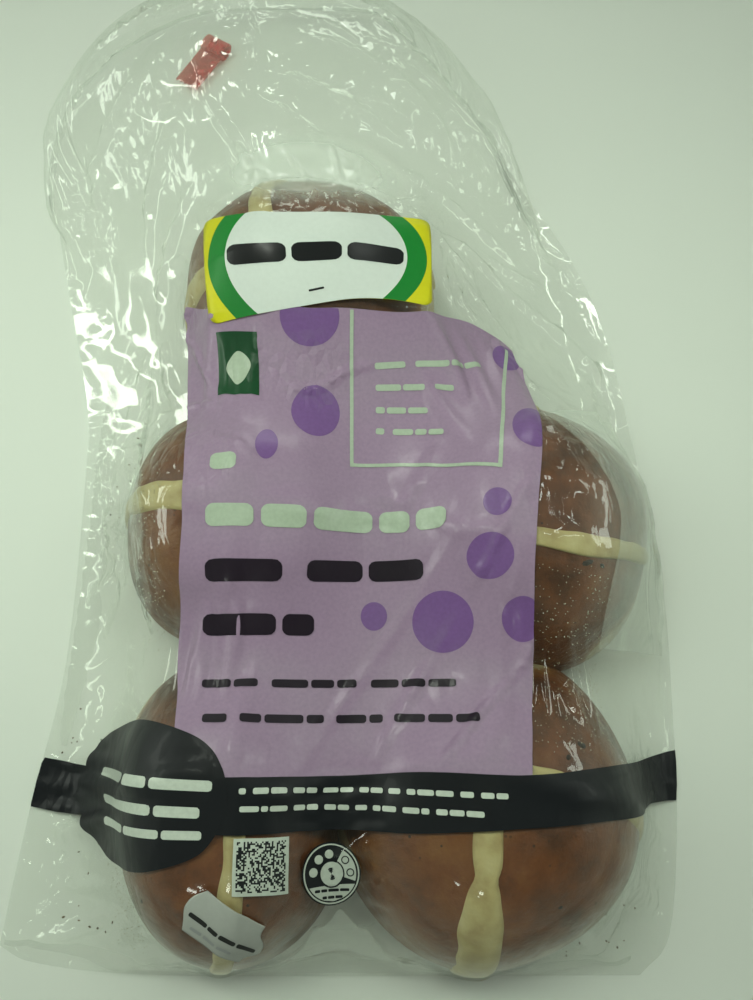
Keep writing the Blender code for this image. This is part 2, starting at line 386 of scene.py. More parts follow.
def bunReach(directions):
    # how far the crust lies from the bun's middle in each direction, on a bun of radius and height 1
    low = np.zeros(len(directions))
    high = np.full(len(directions), 1.6)
    power = bunKit["corners"]
    flat = (np.abs(directions[:, 0]) ** power + np.abs(directions[:, 1]) ** power) ** (1.0 / power)
    for _ in range(26):
        reach = 0.5 * (low + high)
        up = directions[:, 2] * reach + bunKit["middle"]
        side = (1.0 - np.minimum(np.clip(up, 0, 1) ** bunKit["crown"], 1.0)) ** (1.0 / bunKit["shoulder"])
        tuck = np.clip((bunKit["widest"] - up) / bunKit["widest"], 0.0, 1.0)
        rim = bunKit["foot"] + (0.985 - bunKit["foot"]) * np.sqrt(np.clip(1.0 - tuck**2, 0.0, 1.0))
        inside = (flat * reach <= np.minimum(side, rim)) & (up <= 1.0) & (up >= 0.0)
        low = np.where(inside, reach, low)
        high = np.where(inside, high, reach)
    return 0.5 * (low + high)


def bunLumps(directions, seed):
    # slow lumps that make each bun uneven
    random = np.random.default_rng(seed)
    total = np.zeros(len(directions))
    for scale, weight in ((1.6, 1.0), (3.1, 0.55), (6.0, 0.22)):
        for _ in range(4):
            wave = random.standard_normal(3) * scale
            total += weight * np.sin(directions @ wave + random.uniform(0, 2 * math.pi)) / 4
    return total


def bunPoints(offsets, bun, seed, lift=0.0):
    # crust points in the directions of offsets (metres) from the bun's middle, lifted outwards
    spin = math.radians(bun["spin"])
    turned = np.array(Euler((math.radians(bun["lean"][0]), math.radians(bun["lean"][1]), spin)).to_matrix())
    c, s = math.cos(spin), math.sin(spin)
    flatTurn = np.array([[c, -s, 0], [s, c, 0], [0, 0, 1]])
    scale = np.array([*bun["radii"], bun["height"]])
    directions = offsets @ flatTurn / scale
    directions /= np.linalg.norm(directions, axis=1, keepdims=True)
    lumps = 1.0 + bunKit["unevenness"] * bunLumps(directions, seed) * smoothStep(directions[:, 2], -0.5, 0.2)
    points = directions * (bunReach(directions) * lumps)[:, None]
    points[:, 2] += bunKit["middle"]
    normal = directions / scale
    normal /= np.linalg.norm(normal, axis=1, keepdims=True)
    points = points * scale + normal * np.reshape(lift, (-1, 1))
    return points @ turned.T + np.array([*bun["centre"], bun.get("drop", 0.0)])


def makeBun(name, bun, seed, crust):
    shape = bmesh.new()
    bmesh.ops.create_icosphere(shape, subdivisions=6, radius=1.0)
    mesh = bpy.data.meshes.new(name)
    shape.to_mesh(mesh)
    shape.free()
    directions = np.empty(len(mesh.vertices) * 3)
    mesh.vertices.foreach_get("co", directions)
    directions = directions.reshape(-1, 3)
    offsets = directions * np.array([0.04, 0.04, 0.045])
    points = bunPoints(offsets, bun, seed)
    bun["drop"] = 0.0006 - points[:, 2].min()
    points = bunPoints(offsets, bun, seed)
    mesh.vertices.foreach_set("co", points.reshape(-1))
    angle = np.degrees(np.arctan2(directions[:, 1], directions[:, 0]))
    lowness = 1.0 - smoothStep(points[:, 2], 0.006, 0.030)
    bake = 0.03 + 0.10 * lowness + 0.10 * bunLumps(directions * 1.7, seed + 50)
    for middle, width in bun["torn"]:
        apart = np.abs((angle - middle + 180) % 360 - 180)
        side = 1.0 - smoothStep(apart, 0.5 * width, width)
        wall = 1.0 - smoothStep(points[:, 2], 0.022, 0.032 + 0.004 * np.sin(angle / 9.0 + seed))
        bake = np.maximum(bake, 0.75 * side * wall)
    layer = mesh.attributes.new("bake", "FLOAT", "POINT")
    layer.data.foreach_set("value", bake)
    mesh.materials.append(crust)
    mesh.shade_smooth()
    mesh.update()
    piece = bpy.data.objects.new(name, mesh)
    bpy.context.scene.collection.objects.link(piece)
    return piece


def makeCross(name, bun, seed, paste):
    # two piped strips that follow the crust, thick in the middle and thin at their edges
    random = np.random.default_rng(seed + 200)

    def wave(places, size, pace):
        return size * np.sin(places * pace + random.uniform(0, 6))

    points, faces, start = [], [], 0
    count, across = 110, 15
    reach = np.linspace(-1.66, 1.66, count)
    share = np.linspace(-1.0, 1.0, across)
    for arm in range(2):
        angle = math.radians(bun["turn"]) + 0.5 * math.pi * arm
        along = np.array([math.cos(angle), math.sin(angle), 0.0])
        beside = np.array([-math.sin(angle), math.cos(angle), 0.0])
        radius = 0.5 * (bun["radii"][0] + bun["radii"][1])
        shift = np.array([*bun["cross"], 0.0]) @ beside
        wander = wave(reach, 0.0012, 2.3) + wave(reach, 0.0004, 7)
        swell = 1.0 + wave(reach, 0.14, 3.1) + wave(reach, 0.07, 9)
        if arm and "dropped" in bun:
            # the paste was dropped in two goes here: a pinch, then a wide run down the front
            pinch = 0.22 * np.exp(-((reach + 0.30) / 0.05) ** 2)
            swell = 0.95 - pinch + 0.45 * smoothStep(-reach, 0.34, 0.60)
        edge = 1.0 + wave(reach, 0.05, 23)
        grid = []
        for a, sway, fat, rough in zip(reach, wander, swell, edge):
            rim = np.where(share > 0, rough, 1.0)
            side = (shift + sway) * math.cos(a) + share * 0.5 * bun["crossWidth"] * fat * rim
            offset = radius * math.sin(a) * along[None, :] + side[:, None] * beside[None, :]
            offset[:, 2] = 0.7 * bun["height"] * math.cos(a)
            thick = bunKit["pasteThickness"] * (0.7 + 0.3 * fat) * (1.0 - share**4) ** 0.5
            grid.append(bunPoints(offset, bun, seed, thick - 0.0003))
        points.append(np.array(grid).reshape(-1, 3))
        faces.append(gridFaces(count, across) + start)
        start += count * across
    return makePiece(name, np.vstack(points), np.vstack(faces), [paste])


crust = crustMaterial()
paste = pasteMaterial()
fruit = fruitMaterial()
bunPieces = []
for number, (name, bun) in enumerate(buns.items()):
    bunPieces.append(makeBun("bun_" + name, bun, 11 + number, crust))
    keep(bunPieces[-1], "film", "bag")
    bunPieces.append(makeCross("cross_" + name, bun, 11 + number, paste))
    keep(bunPieces[-1], "film", "bag")
print("buns made")


def stackedTree(pieces):
    points, faces, start = [], [], 0
    for piece in pieces:
        points += [vertex.co.copy() for vertex in piece.data.vertices]
        faces += [[start + corner for corner in face.vertices] for face in piece.data.polygons]
        start = len(points)
    return BVHTree.FromPolygons(points, faces)


bunTree = stackedTree(bunPieces)

# the film's shape

bagOutline = {
    "bottom": (
        (-0.1004, -0.1704), (-0.0890, -0.1752), (-0.0538, -0.1785), (0.0220, -0.1788), (0.0950, -0.1786)),
    "right": (
        (0.0950, -0.1786), (0.1056, -0.1663), (0.1117, -0.1258), (0.1125, -0.0817), (0.1090, -0.0420),
        (0.0975, 0.0376), (0.0746, 0.0935), (0.0450, 0.1390), (0.0260, 0.1665)),
    "top": ((-0.0920, 0.1560), (-0.0640, 0.1735), (-0.0375, 0.1788), (0.0125, 0.1770), (0.0260, 0.1665)),
    "left": (
        (-0.1004, -0.1704), (-0.0955, -0.1300), (-0.0890, -0.0850), (-0.0890, -0.0220), (-0.0915, 0.0084),
        (-0.1069, 0.0696), (-0.1125, 0.1000), (-0.1055, 0.1330), (-0.0920, 0.1560)),
}

filmKit = {
    "across": 52,          # cells of the first, coarse net
    "along": 84,
    "seamHeight": 0.0012,
    "topFold": 0.0100,
    "sideFold": 0.0080,
    "slackOver": 0.010,    # spare film over the buns, beside them and in the pillow
    "slackSide": 0.030,
    "slackPillow": 0.055,
    "pillowStart": 0.082,
    "clearance": 0.0010,
}


def smoothThrough(knots):
    # a smooth curve through all the knots but the first and last, which only set its ends' directions
    share = np.linspace(0.0, 1.0, 24, endpoint=False)[:, None]
    pieces = []
    for a, b, c, d in zip(knots[:-3], knots[1:-2], knots[2:-1], knots[3:]):
        square, cube = 2 * a - 5 * b + 4 * c - d, 3 * b - a - 3 * c + d
        pieces.append(b + 0.5 * ((c - a) * share + square * share**2 + cube * share**3))
    return np.vstack([*pieces, knots[-2:-1]])


def evenlyAlong(curve, wanted):
    # points of a curve at even distances; wanted is a function from its length to those distances
    reach = np.concatenate([[0.0], np.cumsum(np.linalg.norm(np.diff(curve, axis=0), axis=1))])
    places = wanted(reach[-1])
    return np.column_stack([np.interp(places, reach, curve[:, axis]) for axis in (0, 1)])


def smoothSide(points, count):
    knots = np.array(points)
    curve = smoothThrough(np.vstack([2 * knots[0] - knots[1], knots, 2 * knots[-1] - knots[-2]]))
    return evenlyAlong(curve, lambda length: np.linspace(0.0, length, count + 1))


def fillSides(sides, across, along):
    # a net of plan positions inside four sides, each given left to right or bottom to top
    bottom = smoothSide(sides["bottom"], across)[None]
    top = smoothSide(sides["top"], across)[None]
    left = smoothSide(sides["left"], along)[:, None]
    right = smoothSide(sides["right"], along)[:, None]
    s = np.linspace(0, 1, across + 1)[None, :, None]
    t = np.linspace(0, 1, along + 1)[:, None, None]
    low = (1 - s) * bottom[:, :1] + s * bottom[:, -1:]
    high = (1 - s) * top[:, :1] + s * top[:, -1:]
    corners = (1 - t) * low + t * high
    return (1 - s) * left + s * right + (1 - t) * bottom + t * top - corners


def outlineGrid(across, along):
    plan = fillSides(bagOutline, across, along)
    low, high = plan.min(axis=(0, 1)), plan.max(axis=(0, 1))
    size = np.array(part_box("bag")[1]) - np.array(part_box("bag")[0])
    return (plan - 0.5 * (low + high)) * size[:2] / (high - low)


def edgeHeights(x, y):
    seam = filmKit["seamHeight"]
    topFold = smoothStep(y, 0.075, 0.150) * (filmKit["topFold"] - seam)
    sideFold = smoothStep(x, 0.06, 0.10) * smoothStep(y, -0.11, -0.05) * (filmKit["sideFold"] - seam)
    return seam + np.maximum(topFold, sideFold)


def bunMap(step):
    # height of the buns over a fine plan grid, with the paper sticker's stiff arch
    xs = np.arange(-0.115, 0.115, step)
    ys = np.arange(-0.182, 0.182, step)
    heights = np.zeros((len(ys), len(xs)))
    down = Vector((0, 0, -1))
    for row, y in enumerate(ys):
        if y > 0.10:
            break
        for column, x in enumerate(xs):
            hit = bunTree.ray_cast(Vector((x, y, 0.1)), down)[0]
            if hit is not None:
                heights[row, column] = hit.z
    gx, gy = np.meshgrid(xs, ys)
    arch = 0.0462 - 3.2 * (gx + 0.004) ** 2 - 2.0 * (gy - 0.040) ** 2
    under = (np.abs(gx + 0.0035) < 0.036) & (np.abs(gy - 0.0385) < 0.018)
    heights = np.where(under, np.maximum(heights, arch), heights)
    return xs, ys, heights


def mapLook(bunField, x, y, grid):
    xs, ys = bunField[0], bunField[1]
    step = xs[1] - xs[0]
    i = np.clip((x - xs[0]) / step, 0, len(xs) - 1.001)
    j = np.clip((y - ys[0]) / step, 0, len(ys) - 1.001)
    iw, jw = i.astype(int), j.astype(int)
    fi, fj = i - iw, j - jw
    near = grid[jw, iw] * (1 - fi) + grid[jw, iw + 1] * fi
    far = grid[jw + 1, iw] * (1 - fi) + grid[jw + 1, iw + 1] * fi
    return near * (1 - fj) + far * fj


def tightFilm(plan, bunField):
    # a soap-film surface over the buns, puffed by air near the neck and pulled down at its margins
    x, y = plan[..., 0], plan[..., 1]
    floor = mapLook(bunField, x, y, bunField[2]) + filmKit["clearance"]
    cell = (40.0 / filmKit["across"]) ** 2
    load = 0.00017 * cell * smoothStep(y, filmKit["pillowStart"], filmKit["pillowStart"] + 0.03)
    load = load - 0.00006 * cell * smoothStep(-y, -filmKit["pillowStart"], 0.0)
    edge = edgeHeights(x, y)
    height = np.maximum(floor, edge)
    row, column = np.indices(height[1:-1, 1:-1].shape)
    pull = 1.9
    for _ in range(500):
        for parity in (0, 1):
            inner = height[1:-1, 1:-1]
            mean = 0.25 * (height[:-2, 1:-1] + height[2:, 1:-1] + height[1:-1, :-2] + height[1:-1, 2:])
            new = (1 - pull) * inner + pull * (mean + load[1:-1, 1:-1])
            new = np.maximum(np.maximum(new, floor[1:-1, 1:-1]), filmKit["seamHeight"])
            chosen = (row + column) % 2 == parity
            inner[chosen] = new[chosen]
        height[0], height[-1], height[:, 0], height[:, -1] = edge[0], edge[-1], edge[:, 0], edge[:, -1]
    return np.dstack([x, y, height])


def doubled(grid):
    # the same net with twice as many cells each way, rounded a little
    rows, columns = grid.shape[:2]
    out = np.zeros((2 * rows - 1, 2 * columns - 1) + grid.shape[2:])
    out[::2, ::2] = grid

    def halves(a):
        middle = 0.5 * (a[1:] + a[:-1])
        middle[1:-1] = (9 * (a[1:-2] + a[2:-1]) - (a[:-3] + a[3:])) / 16
        return middle

    out[1::2, ::2] = halves(grid)
    out[:, 1::2] = np.moveaxis(halves(np.moveaxis(out[:, ::2], 1, 0)), 0, 1)
    return out


def restLengths(net, slack):
    across = np.linalg.norm(net[:, 1:] - net[:, :-1], axis=-1) * 0.5 * (slack[:, 1:] + slack[:, :-1])
    along = np.linalg.norm(net[1:] - net[:-1], axis=-1) * 0.5 * (slack[1:] + slack[:-1])
    cell = 0.25 * (slack[1:, 1:] + slack[:-1, 1:] + slack[1:, :-1] + slack[:-1, :-1])
    rising = np.linalg.norm(net[1:, 1:] - net[:-1, :-1], axis=-1) * cell
    falling = np.linalg.norm(net[1:, :-1] - net[:-1, 1:], axis=-1) * cell
    return across, along, rising, falling


def pullLinks(points, first, second, rest, stiffness, free):
    # moves both ends of each link towards its rest length
    gap = points[second] - points[first]
    length = np.sqrt((gap * gap).sum(-1)) + 1e-12
    share = stiffness * (length - rest) / length / np.maximum(free[first] + free[second], 1e-9)
    gap *= share[..., None]
    points[first] = points[first] + gap * free[first][..., None]
    points[second] = points[second] - gap * free[second][..., None]


def apart(count, step):
    # link starts in two sets, so that no two links of a set share a point
    starts = np.arange(count - step)
    return [starts[(starts // step) % 2 == half] for half in (0, 1)]


def settleFilm(points, rests, free, bunField, slopes, steps, bend, air):
    across, along, rising, falling = rests
    rows, columns = points.shape[:2]
    everything = slice(None)
    speed = np.zeros_like(points)
    for _ in range(steps):
        before = points.copy()
        over, up = np.zeros_like(points), np.zeros_like(points)
        over[:, 1:-1] = points[:, 2:] - points[:, :-2]
        up[1:-1] = points[2:] - points[:-2]
        normal = np.cross(over, up)
        normal /= np.linalg.norm(normal, axis=-1, keepdims=True) + 1e-12
        push = normal * air[..., None]
        push[..., 2] -= 0.00001
        points = points + (speed * 0.9 + push) * free[..., None]
        for _ in range(3):
            for c in apart(columns, 1):
                pullLinks(points, (everything, c), (everything, c + 1), across[:, c], 1.0, free)
            for c in apart(rows, 1):
                pullLinks(points, (c, everything), (c + 1, everything), along[c], 1.0, free)
                j, i = c[:, None], np.arange(columns - 1)[None]
                pullLinks(points, (j, i), (j + 1, i + 1), rising[c], 0.8, free)
                pullLinks(points, (j, i + 1), (j + 1, i), falling[c], 0.8, free)
            for c in apart(columns, 2):
                rest = across[:, c] + across[:, c + 1]
                pullLinks(points, (everything, c), (everything, c + 2), rest, bend, free)
            for c in apart(rows, 2):
                rest = along[c] + along[c + 1]
                pullLinks(points, (c, everything), (c + 2, everything), rest, bend, free)
            x, y = points[..., 0], points[..., 1]
            height = mapLook(bunField, x, y, bunField[2])
            sx, sy = mapLook(bunField, x, y, slopes[0]), mapLook(bunField, x, y, slopes[1])
            steep = np.sqrt(1 + sx * sx + sy * sy)
            out = np.clip((height + filmKit["clearance"] - points[..., 2]) / steep, 0, 0.004)
            out = out * (height > 0.001) * free
            points[..., 0] -= sx / steep * out
            points[..., 1] -= sy / steep * out
            raised = np.maximum(points[..., 2] + out / steep, 0.0009)
            points[..., 2] = np.where(free > 0, raised, points[..., 2])
        speed = points - before
        speed = np.where((out > 0)[..., None], speed * 0.5, speed)
        fast = np.linalg.norm(speed, axis=-1, keepdims=True)
        speed *= np.minimum(1, 0.002 / (fast + 1e-12))
    return points


def makeFilmNet():
    bunField = bunMap(0.0015)
    step = bunField[0][1] - bunField[0][0]
    slopeY, slopeX = np.gradient(bunField[2], step)
    slopes = (np.clip(slopeX, -4, 4), np.clip(slopeY, -4, 4))
    tight = tightFilm(outlineGrid(filmKit["across"], filmKit["along"]), bunField)
    net = tight.copy()
    random = np.random.default_rng(7)
    for level in range(2):
        if level:
            net, tight = doubled(net), doubled(tight)
        x, y, z = tight[..., 0], tight[..., 1], tight[..., 2]
        resting = mapLook(bunField, x, y, bunField[2])
        touching = smoothStep(0.004 - (z - resting), 0, 0.004) * (resting > 0.01)
        pillow = smoothStep(y, 0.07, 0.12)
        side = smoothStep(-x, 0.055, 0.08)
        slack = filmKit["slackOver"] + filmKit["slackPillow"] * pillow + filmKit["slackSide"] * side
        slack = 1 + slack * (1 - 0.85 * touching)
        free = np.ones(x.shape)
        free[0] = free[-1] = free[:, 0] = free[:, -1] = 0
        bumps = 0.0012 * noiseField(random, x.shape, (30, 18))
        bumps += 0.0006 * noiseField(random, x.shape, (60, 40))
        net[..., 2] += np.abs(bumps) * free * (1.0 if level == 0 else 0.3)
        air = 0.00003 * smoothStep(y, 0.08, 0.12) * (1.0 if level == 0 else 0.25)
        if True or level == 0:
            steps = 120 if level == 0 else 60
            bend = 0.08 if level == 0 else 0.03
            net = settleFilm(net, restLengths(tight, slack), free, bunField, slopes, steps, bend, air)
    return doubled(net), doubled(tight)


filmNet, planNet = makeFilmNet()
print("film settled, highest point", round(float(filmNet[..., 2].max()), 4))


def netNormals(net):
    over = np.gradient(net, axis=1)
    up = np.gradient(net, axis=0)
    normal = np.cross(over, up)
    return normal / (np.linalg.norm(normal, axis=-1, keepdims=True) + 1e-12)


# creases of the film: plan path in millimetres on the bag, height and half width in millimetres
folds = (
    # left margin and neck
    (((-91, 89), (-90, 83), (-89, 74)), 1.6, 2.6),
    (((-98, 86), (-95, 75), (-93, 62), (-91, 50)), 1.8, 2.2),
    (((-51, 71), (-57, 59), (-63, 48), (-65, 38), (-66, 26)), 2.4, 3.4),
    (((-64, 25), (-62, 15), (-55, 1), (-48, -9)), 2.2, 2.4),
    (((-48, -9), (-40, -8), (-32, -10)), 0.8, 1.6),
    (((-48, -9), (-57, -8), (-66, -10)), 1.0, 1.6),
    (((-71, 25), (-74, 14), (-76, 2), (-79, -5), (-86, -10)), 2.0, 2.4),
    (((-68, 20), (-67, 6), (-63, -14), (-54, -34), (-52, -47)), 1.8, 2.0),
    (((-88, -13), (-80, -12), (-69, -13)), 1.6, 1.8),
    (((-86, -40), (-72, -43), (-56, -48)), 1.0, 1.8),
    (((-54, -56), (-55, -66), (-52, -78)), 1.6, 2.2),
    (((-86, -12), (-82, -30), (-76, -51), (-67, -70)), 1.8, 2.4),
    (((-80, -92), (-79, -100), (-81, -110)), 0.7, 2.2),
    (((-81, -137), (-85, -152), (-89, -166)), 1.2, 2.0),
    (((-43, 98), (-33, 82), (-23, 66)), 2.0, 2.6),
    (((-52, 101), (-61, 87), (-68, 71), (-72, 50)), 2.4, 2.8),
    (((-31, 99), (-11, 88), (5, 76)), 1.6, 2.4),
    (((-62, 114), (-75, 103), (-92, 88)), 2.0, 2.6),
    (((-24, 104), (-2, 98), (22, 88)), 1.8, 2.4),
    (((-12, 116), (10, 111), (31, 101), (44, 84)), 2.0, 3.0),
    (((-42, 140), (-30, 126), (-24, 104)), 2.0, 2.6),
    (((-58, 140), (-70, 132), (-84, 128)), 1.8, 2.4),
    (((-20, 150), (0, 138), (22, 134)), 1.6, 2.6),
    # round the paper sticker
    (((-63, 47), (-55, 49), (-47, 42), (-40, 33)), 0.9, 1.5),
    (((-63, 47), (-50, 37), (-47, 31), (-51, 22), (-45, 12), (-38, 0), (-29, -9)), 1.2, 1.7),
    (((31, 53), (46, 56), (54, 54), (67, 45)), 1.8, 2.0),
    (((31, 53), (40, 51), (52, 46)), 1.2, 1.6),
    (((54, 57), (66, 55), (79, 53)), 1.6, 2.2),
    (((66, 46), (81, 35), (91, 23), (100, 5)), 2.6, 3.2),
    (((82, 70), (88, 62), (93, 52)), 2.0, 2.4),
    (((41, 44), (46, 33), (54, 25)), 1.2, 1.7),
    (((46, 43), (52, 38), (57, 32), (63, 23)), 1.4, 1.8),
    (((36, 47), (39, 36), (44, 26)), 0.9, 1.6),
    (((63, 12), (66, 4), (71, -6)), 1.2, 1.8),
    (((-40, 63), (-12, 66), (14, 65), (31, 55)), 1.4, 2.2),
    (((20, 78), (38, 72), (56, 66), (70, 60)), 1.6, 2.6),
    # gathered over the bun behind the sticker
    (((-3, 56), (-9, 68), (-17, 80)), 1.0, 1.3),
    (((1, 57), (2, 69), (-2, 84)), 1.1, 1.4),
    (((7, 57), (12, 67), (20, 77)), 1.0, 1.3),
    (((13, 57), (22, 63), (34, 68)), 1.0, 1.4),
    (((-10, 57), (-20, 65), (-32, 72)), 0.9, 1.4),
    (((-20, 56), (-32, 60), (-44, 61)), 0.8, 1.4),
    (((4, 62), (8, 72), (9, 83)), 0.8, 1.1),
    # on the print
    (((-14, -4), (-4, -5), (6, 1), (14, 4)), 1.1, 2.2),
    (((-22, 16), (-21, 8), (-18, 2)), 0.8, 1.6),
    (((38, -19), (27, -37), (17, -54)), 0.5, 3.4),
    (((61, -36), (54, -48), (48, -60), (42, -70)), 0.8, 2.2),
    (((40, -52), (19, -81), (6, -99), (-6, -117)), 0.7, 3.2),
    (((40, -73), (25, -97), (14, -117)), 0.6, 2.8),
    (((56, -90), (44, -102), (31, -118)), 0.9, 1.9),
    (((60, -81), (57, -88), (52, -94)), 0.7, 2.0),
    (((-34, -22), (-26, -25), (-20, -31)), 0.6, 1.8),
    # right margin
    (((67, -16), (74, -34), (82, -38)), 1.2, 1.8),
    (((97, -29), (104, -55), (108, -82), (108, -112)), 1.6, 2.4),
    (((66, -92), (72, -100), (75, -112)), 0.8, 1.8),
    (((105, -138), (101, -157), (96, -174)), 1.0, 2.0),
    (((88, -150), (84, -162), (74, -174)), 1.0, 2.2),
    (((4, -150), (-6, -162), (-14, -172)), 1.0, 2.0),
    (((4, -150), (17, -165), (31, -172)), 1.0, 2.0),
)


def pressFolds(net, plan, normals):
    # thin ragged ridges along the folds, and a loose web of small ones where the film is slack
    random = np.random.default_rng(19)
    x, y = plan[..., 0] * 1000, plan[..., 1] * 1000
    rise = np.zeros(x.shape)
    for path, height, width in folds:
        line = smoothSide(path, 48)
        low, high = line.min(axis=0) - 2 * width, line.max(axis=0) + 2 * width
        near = (x > low[0]) & (x < high[0]) & (y > low[1]) & (y < high[1])
        gap = np.hypot(x[near][:, None] - line[None, :, 0], y[near][:, None] - line[None, :, 1])
        share = gap.argmin(axis=1) / 48.0
        ragged = 1 + 0.30 * np.sin(share * 19 + random.uniform(0, 6))
        ragged += 0.18 * np.sin(share * 41 + random.uniform(0, 6))
        taper = np.clip(np.sin(math.pi * np.clip(share, 0.02, 0.98)), 0, 1) ** 0.6
        ridge = 1.35 * height * taper * ragged * np.clip(1 - gap.min(axis=1) / width, 0, 1) ** 1.3
        rise[near] = np.maximum(rise[near], ridge)
    margin = smoothStep(np.abs(x + 8), 66, 84) * smoothStep(y, -150, -60)
    slackness = np.maximum(smoothStep(y, 58, 95), margin)
    for cells, height in (((26, 15), 1.3), ((52, 30), 0.5)):
        field = noiseField(random, x.shape, cells)
        patchy = smoothStep(noiseField(random, x.shape, (12, 8)), -0.3, 1.1)
        rise += height * slackness * patchy * np.clip(1 - np.abs(field) / 0.30, 0, 1) ** 1.6
    fromEdge = [np.minimum(np.arange(count), np.arange(count)[::-1]) for count in x.shape]
    rise *= smoothStep(np.minimum.outer(*fromEdge), 0, 5)
    return net + normals * rise[..., None] * 0.001


filmNet = pressFolds(filmNet, planNet, netNormals(filmNet))
filmNormals = netNormals(filmNet)

# where the film is crumpled finely: plan place and radii in millimetres, and how strongly
crumples = (
    ((-92, 82), (8, 16), 1.0), ((-74, 12), (9, 20), 1.0), ((-84, -14), (9, 12), 1.0),
    ((-77, -46), (7, 24), 0.8), ((-50, 28), (6, 12), 0.9), ((-47, -24), (9, 9), 0.9),
    ((-8, 0), (15, 11), 0.8), ((-34, -30), (9, 9), 0.6), ((46, 44), (12, 12), 0.9),
    ((62, 26), (12, 12), 0.8), ((80, 48), (13, 9), 0.8), ((74, -28), (10, 12), 0.9),
    ((64, -42), (6, 14), 0.5), ((-44, 108), (22, 16), 0.9), ((10, 104), (32, 16), 0.6),
    ((-64, 96), (12, 18), 0.9), ((-4, 66), (36, 14), 1.0), ((-88, -142), (8, 22), 0.6),
    ((104, -96), (8, 34), 0.5), ((98, -150), (10, 20), 0.6), ((-40, 142), (26, 14), 0.9),
    ((20, 142), (26, 14), 0.7), ((-52, -62), (5, 14), 0.8), ((56, 90), (18, 16), 0.6),
)
# and where it is milky
veils = (
    ((-9, 71), (30, 12), 0.36), ((52, 36), (16, 18), 0.10), ((-58, 40), (12, 26), 0.05),
    ((90, -60), (12, 40), 0.07), ((-66, -60), (14, 40), 0.05), ((0, -166), (26, 10), 0.05),
    ((-70, -150), (22, 24), 0.05),
)


def patchSum(patches, x, y):
    total = np.zeros(np.shape(x))
    for (middleX, middleY), (radiusX, radiusY), amount in patches:
        reach = np.hypot((x - middleX) / radiusX, (y - middleY) / radiusY)
        total = np.maximum(total, amount * (1 - smoothStep(reach, 0.55, 1.5)))
    return total


def crumpleAt(x, y):
    # plan places in millimetres
    return 0.05 + 0.95 * patchSum(crumples, x, y)


def milkAt(x, y):
    margin = smoothStep(np.abs(x + 5), 70, 92)
    pillow = smoothStep(y, 52, 84)
    return 0.008 + 0.050 * np.maximum(margin, pillow) + patchSum(veils, x, y)


def addLayers(piece, plan, milkier=0.0):
    # the film's crumple and milk as vertex attributes, from plan places in millimetres
    x, y = plan[..., 0].reshape(-1), plan[..., 1].reshape(-1)
    for name, values in (("crumple", crumpleAt(x, y)), ("milk", milkAt(x, y) + milkier)):
        layer = piece.data.attributes.new(name, "FLOAT", "POINT")
        layer.data.foreach_set("value", values)
    return piece


def pickNet(grid, t, s):
    rows, columns = grid.shape[:2]
    j = np.clip(t, 0, rows - 1.0001)
    i = np.clip(s, 0, columns - 1.0001)
    jw, iw = j.astype(int), i.astype(int)
    fj, fi = (j - jw)[..., None], (i - iw)[..., None]
    near = grid[jw, iw] * (1 - fi) + grid[jw, iw + 1] * fi
    far = grid[jw + 1, iw] * (1 - fi) + grid[jw + 1, iw + 1] * fi
    return near * (1 - fj) + far * fj


def onFilm(x, y, lift):
    # where artwork at plan (x, y) lies on the settled film, lifted along its normal
    rows, columns = planNet.shape[:2]
    plan = planNet[..., :2]
    low, high = plan.min(axis=(0, 1)), plan.max(axis=(0, 1))
    s = (x - low[0]) / (high[0] - low[0]) * (columns - 1)
    t = (y - low[1]) / (high[1] - low[1]) * (rows - 1)
    for _ in range(12):
        here = pickNet(plan, t, s)
        alongS = pickNet(plan, t, s + 0.5) - pickNet(plan, t, s - 0.5)
        alongT = pickNet(plan, t + 0.5, s) - pickNet(plan, t - 0.5, s)
        missX, missY = x - here[..., 0], y - here[..., 1]
        size = alongS[..., 0] * alongT[..., 1] - alongS[..., 1] * alongT[..., 0]
        size = np.where(np.abs(size) < 1e-12, 1e-12, size)
        s = np.clip(s + (missX * alongT[..., 1] - missY * alongT[..., 0]) / size, 0, columns - 1)
        t = np.clip(t + (alongS[..., 0] * missY - alongS[..., 1] * missX) / size, 0, rows - 1)
    return pickNet(filmNet, t, s) + pickNet(filmNormals, t, s) * lift


# the film itself

clearSkin = clearFilm("clearFilm")
underSkin = clearFilm("clearFilmUnder", crinkled=False)

front = makePiece("film_front", filmNet, gridFaces(*filmNet.shape[:2]), [clearSkin])
keep(addLayers(front, planNet * 1000), "film", "bag")


def makeBackFilm():
    # the film under the buns: flat on the table, rising to meet the front at the folds
    net = planNet[::2, ::2].copy()
    rows, columns = net.shape[:2]
    edge = edgeHeights(net[..., 0], net[..., 1])
    j, i = np.indices((rows, columns))
    away = np.minimum(np.minimum(j, rows - 1 - j), np.minimum(i, columns - 1 - i)) * 2.1e-3
    ripple = 0.0004 * np.abs(noiseField(np.random.default_rng(5), (rows, columns), (40, 24)))
    onTable = 0.0003
    z = onTable + (edge - onTable) * (1 - smoothStep(away, 0.0, 0.022)) ** 1.5
    z += ripple * smoothStep(away, 0, 0.01)
    low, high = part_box("neck_tape")
    outX = np.maximum(np.maximum(low[0] - net[..., 0], net[..., 0] - high[0]), 0)
    outY = np.maximum(np.maximum(low[1] - net[..., 1], net[..., 1] - high[1]), 0)
    overTape = 1 - smoothStep(np.hypot(outX, outY), 0.0, 0.022)
    z = np.maximum(z, overTape * (high[2] + 0.0006))
    front = filmNet[::2, ::2]
    net = np.dstack([front[..., 0], front[..., 1], np.minimum(z, front[..., 2])])
    border = away < 1e-9
    net[border] = front[border]
    piece = makePiece("film_back", net, gridFaces(rows, columns)[:, ::-1], [underSkin])
    return addLayers(piece, planNet[::2, ::2] * 1000)


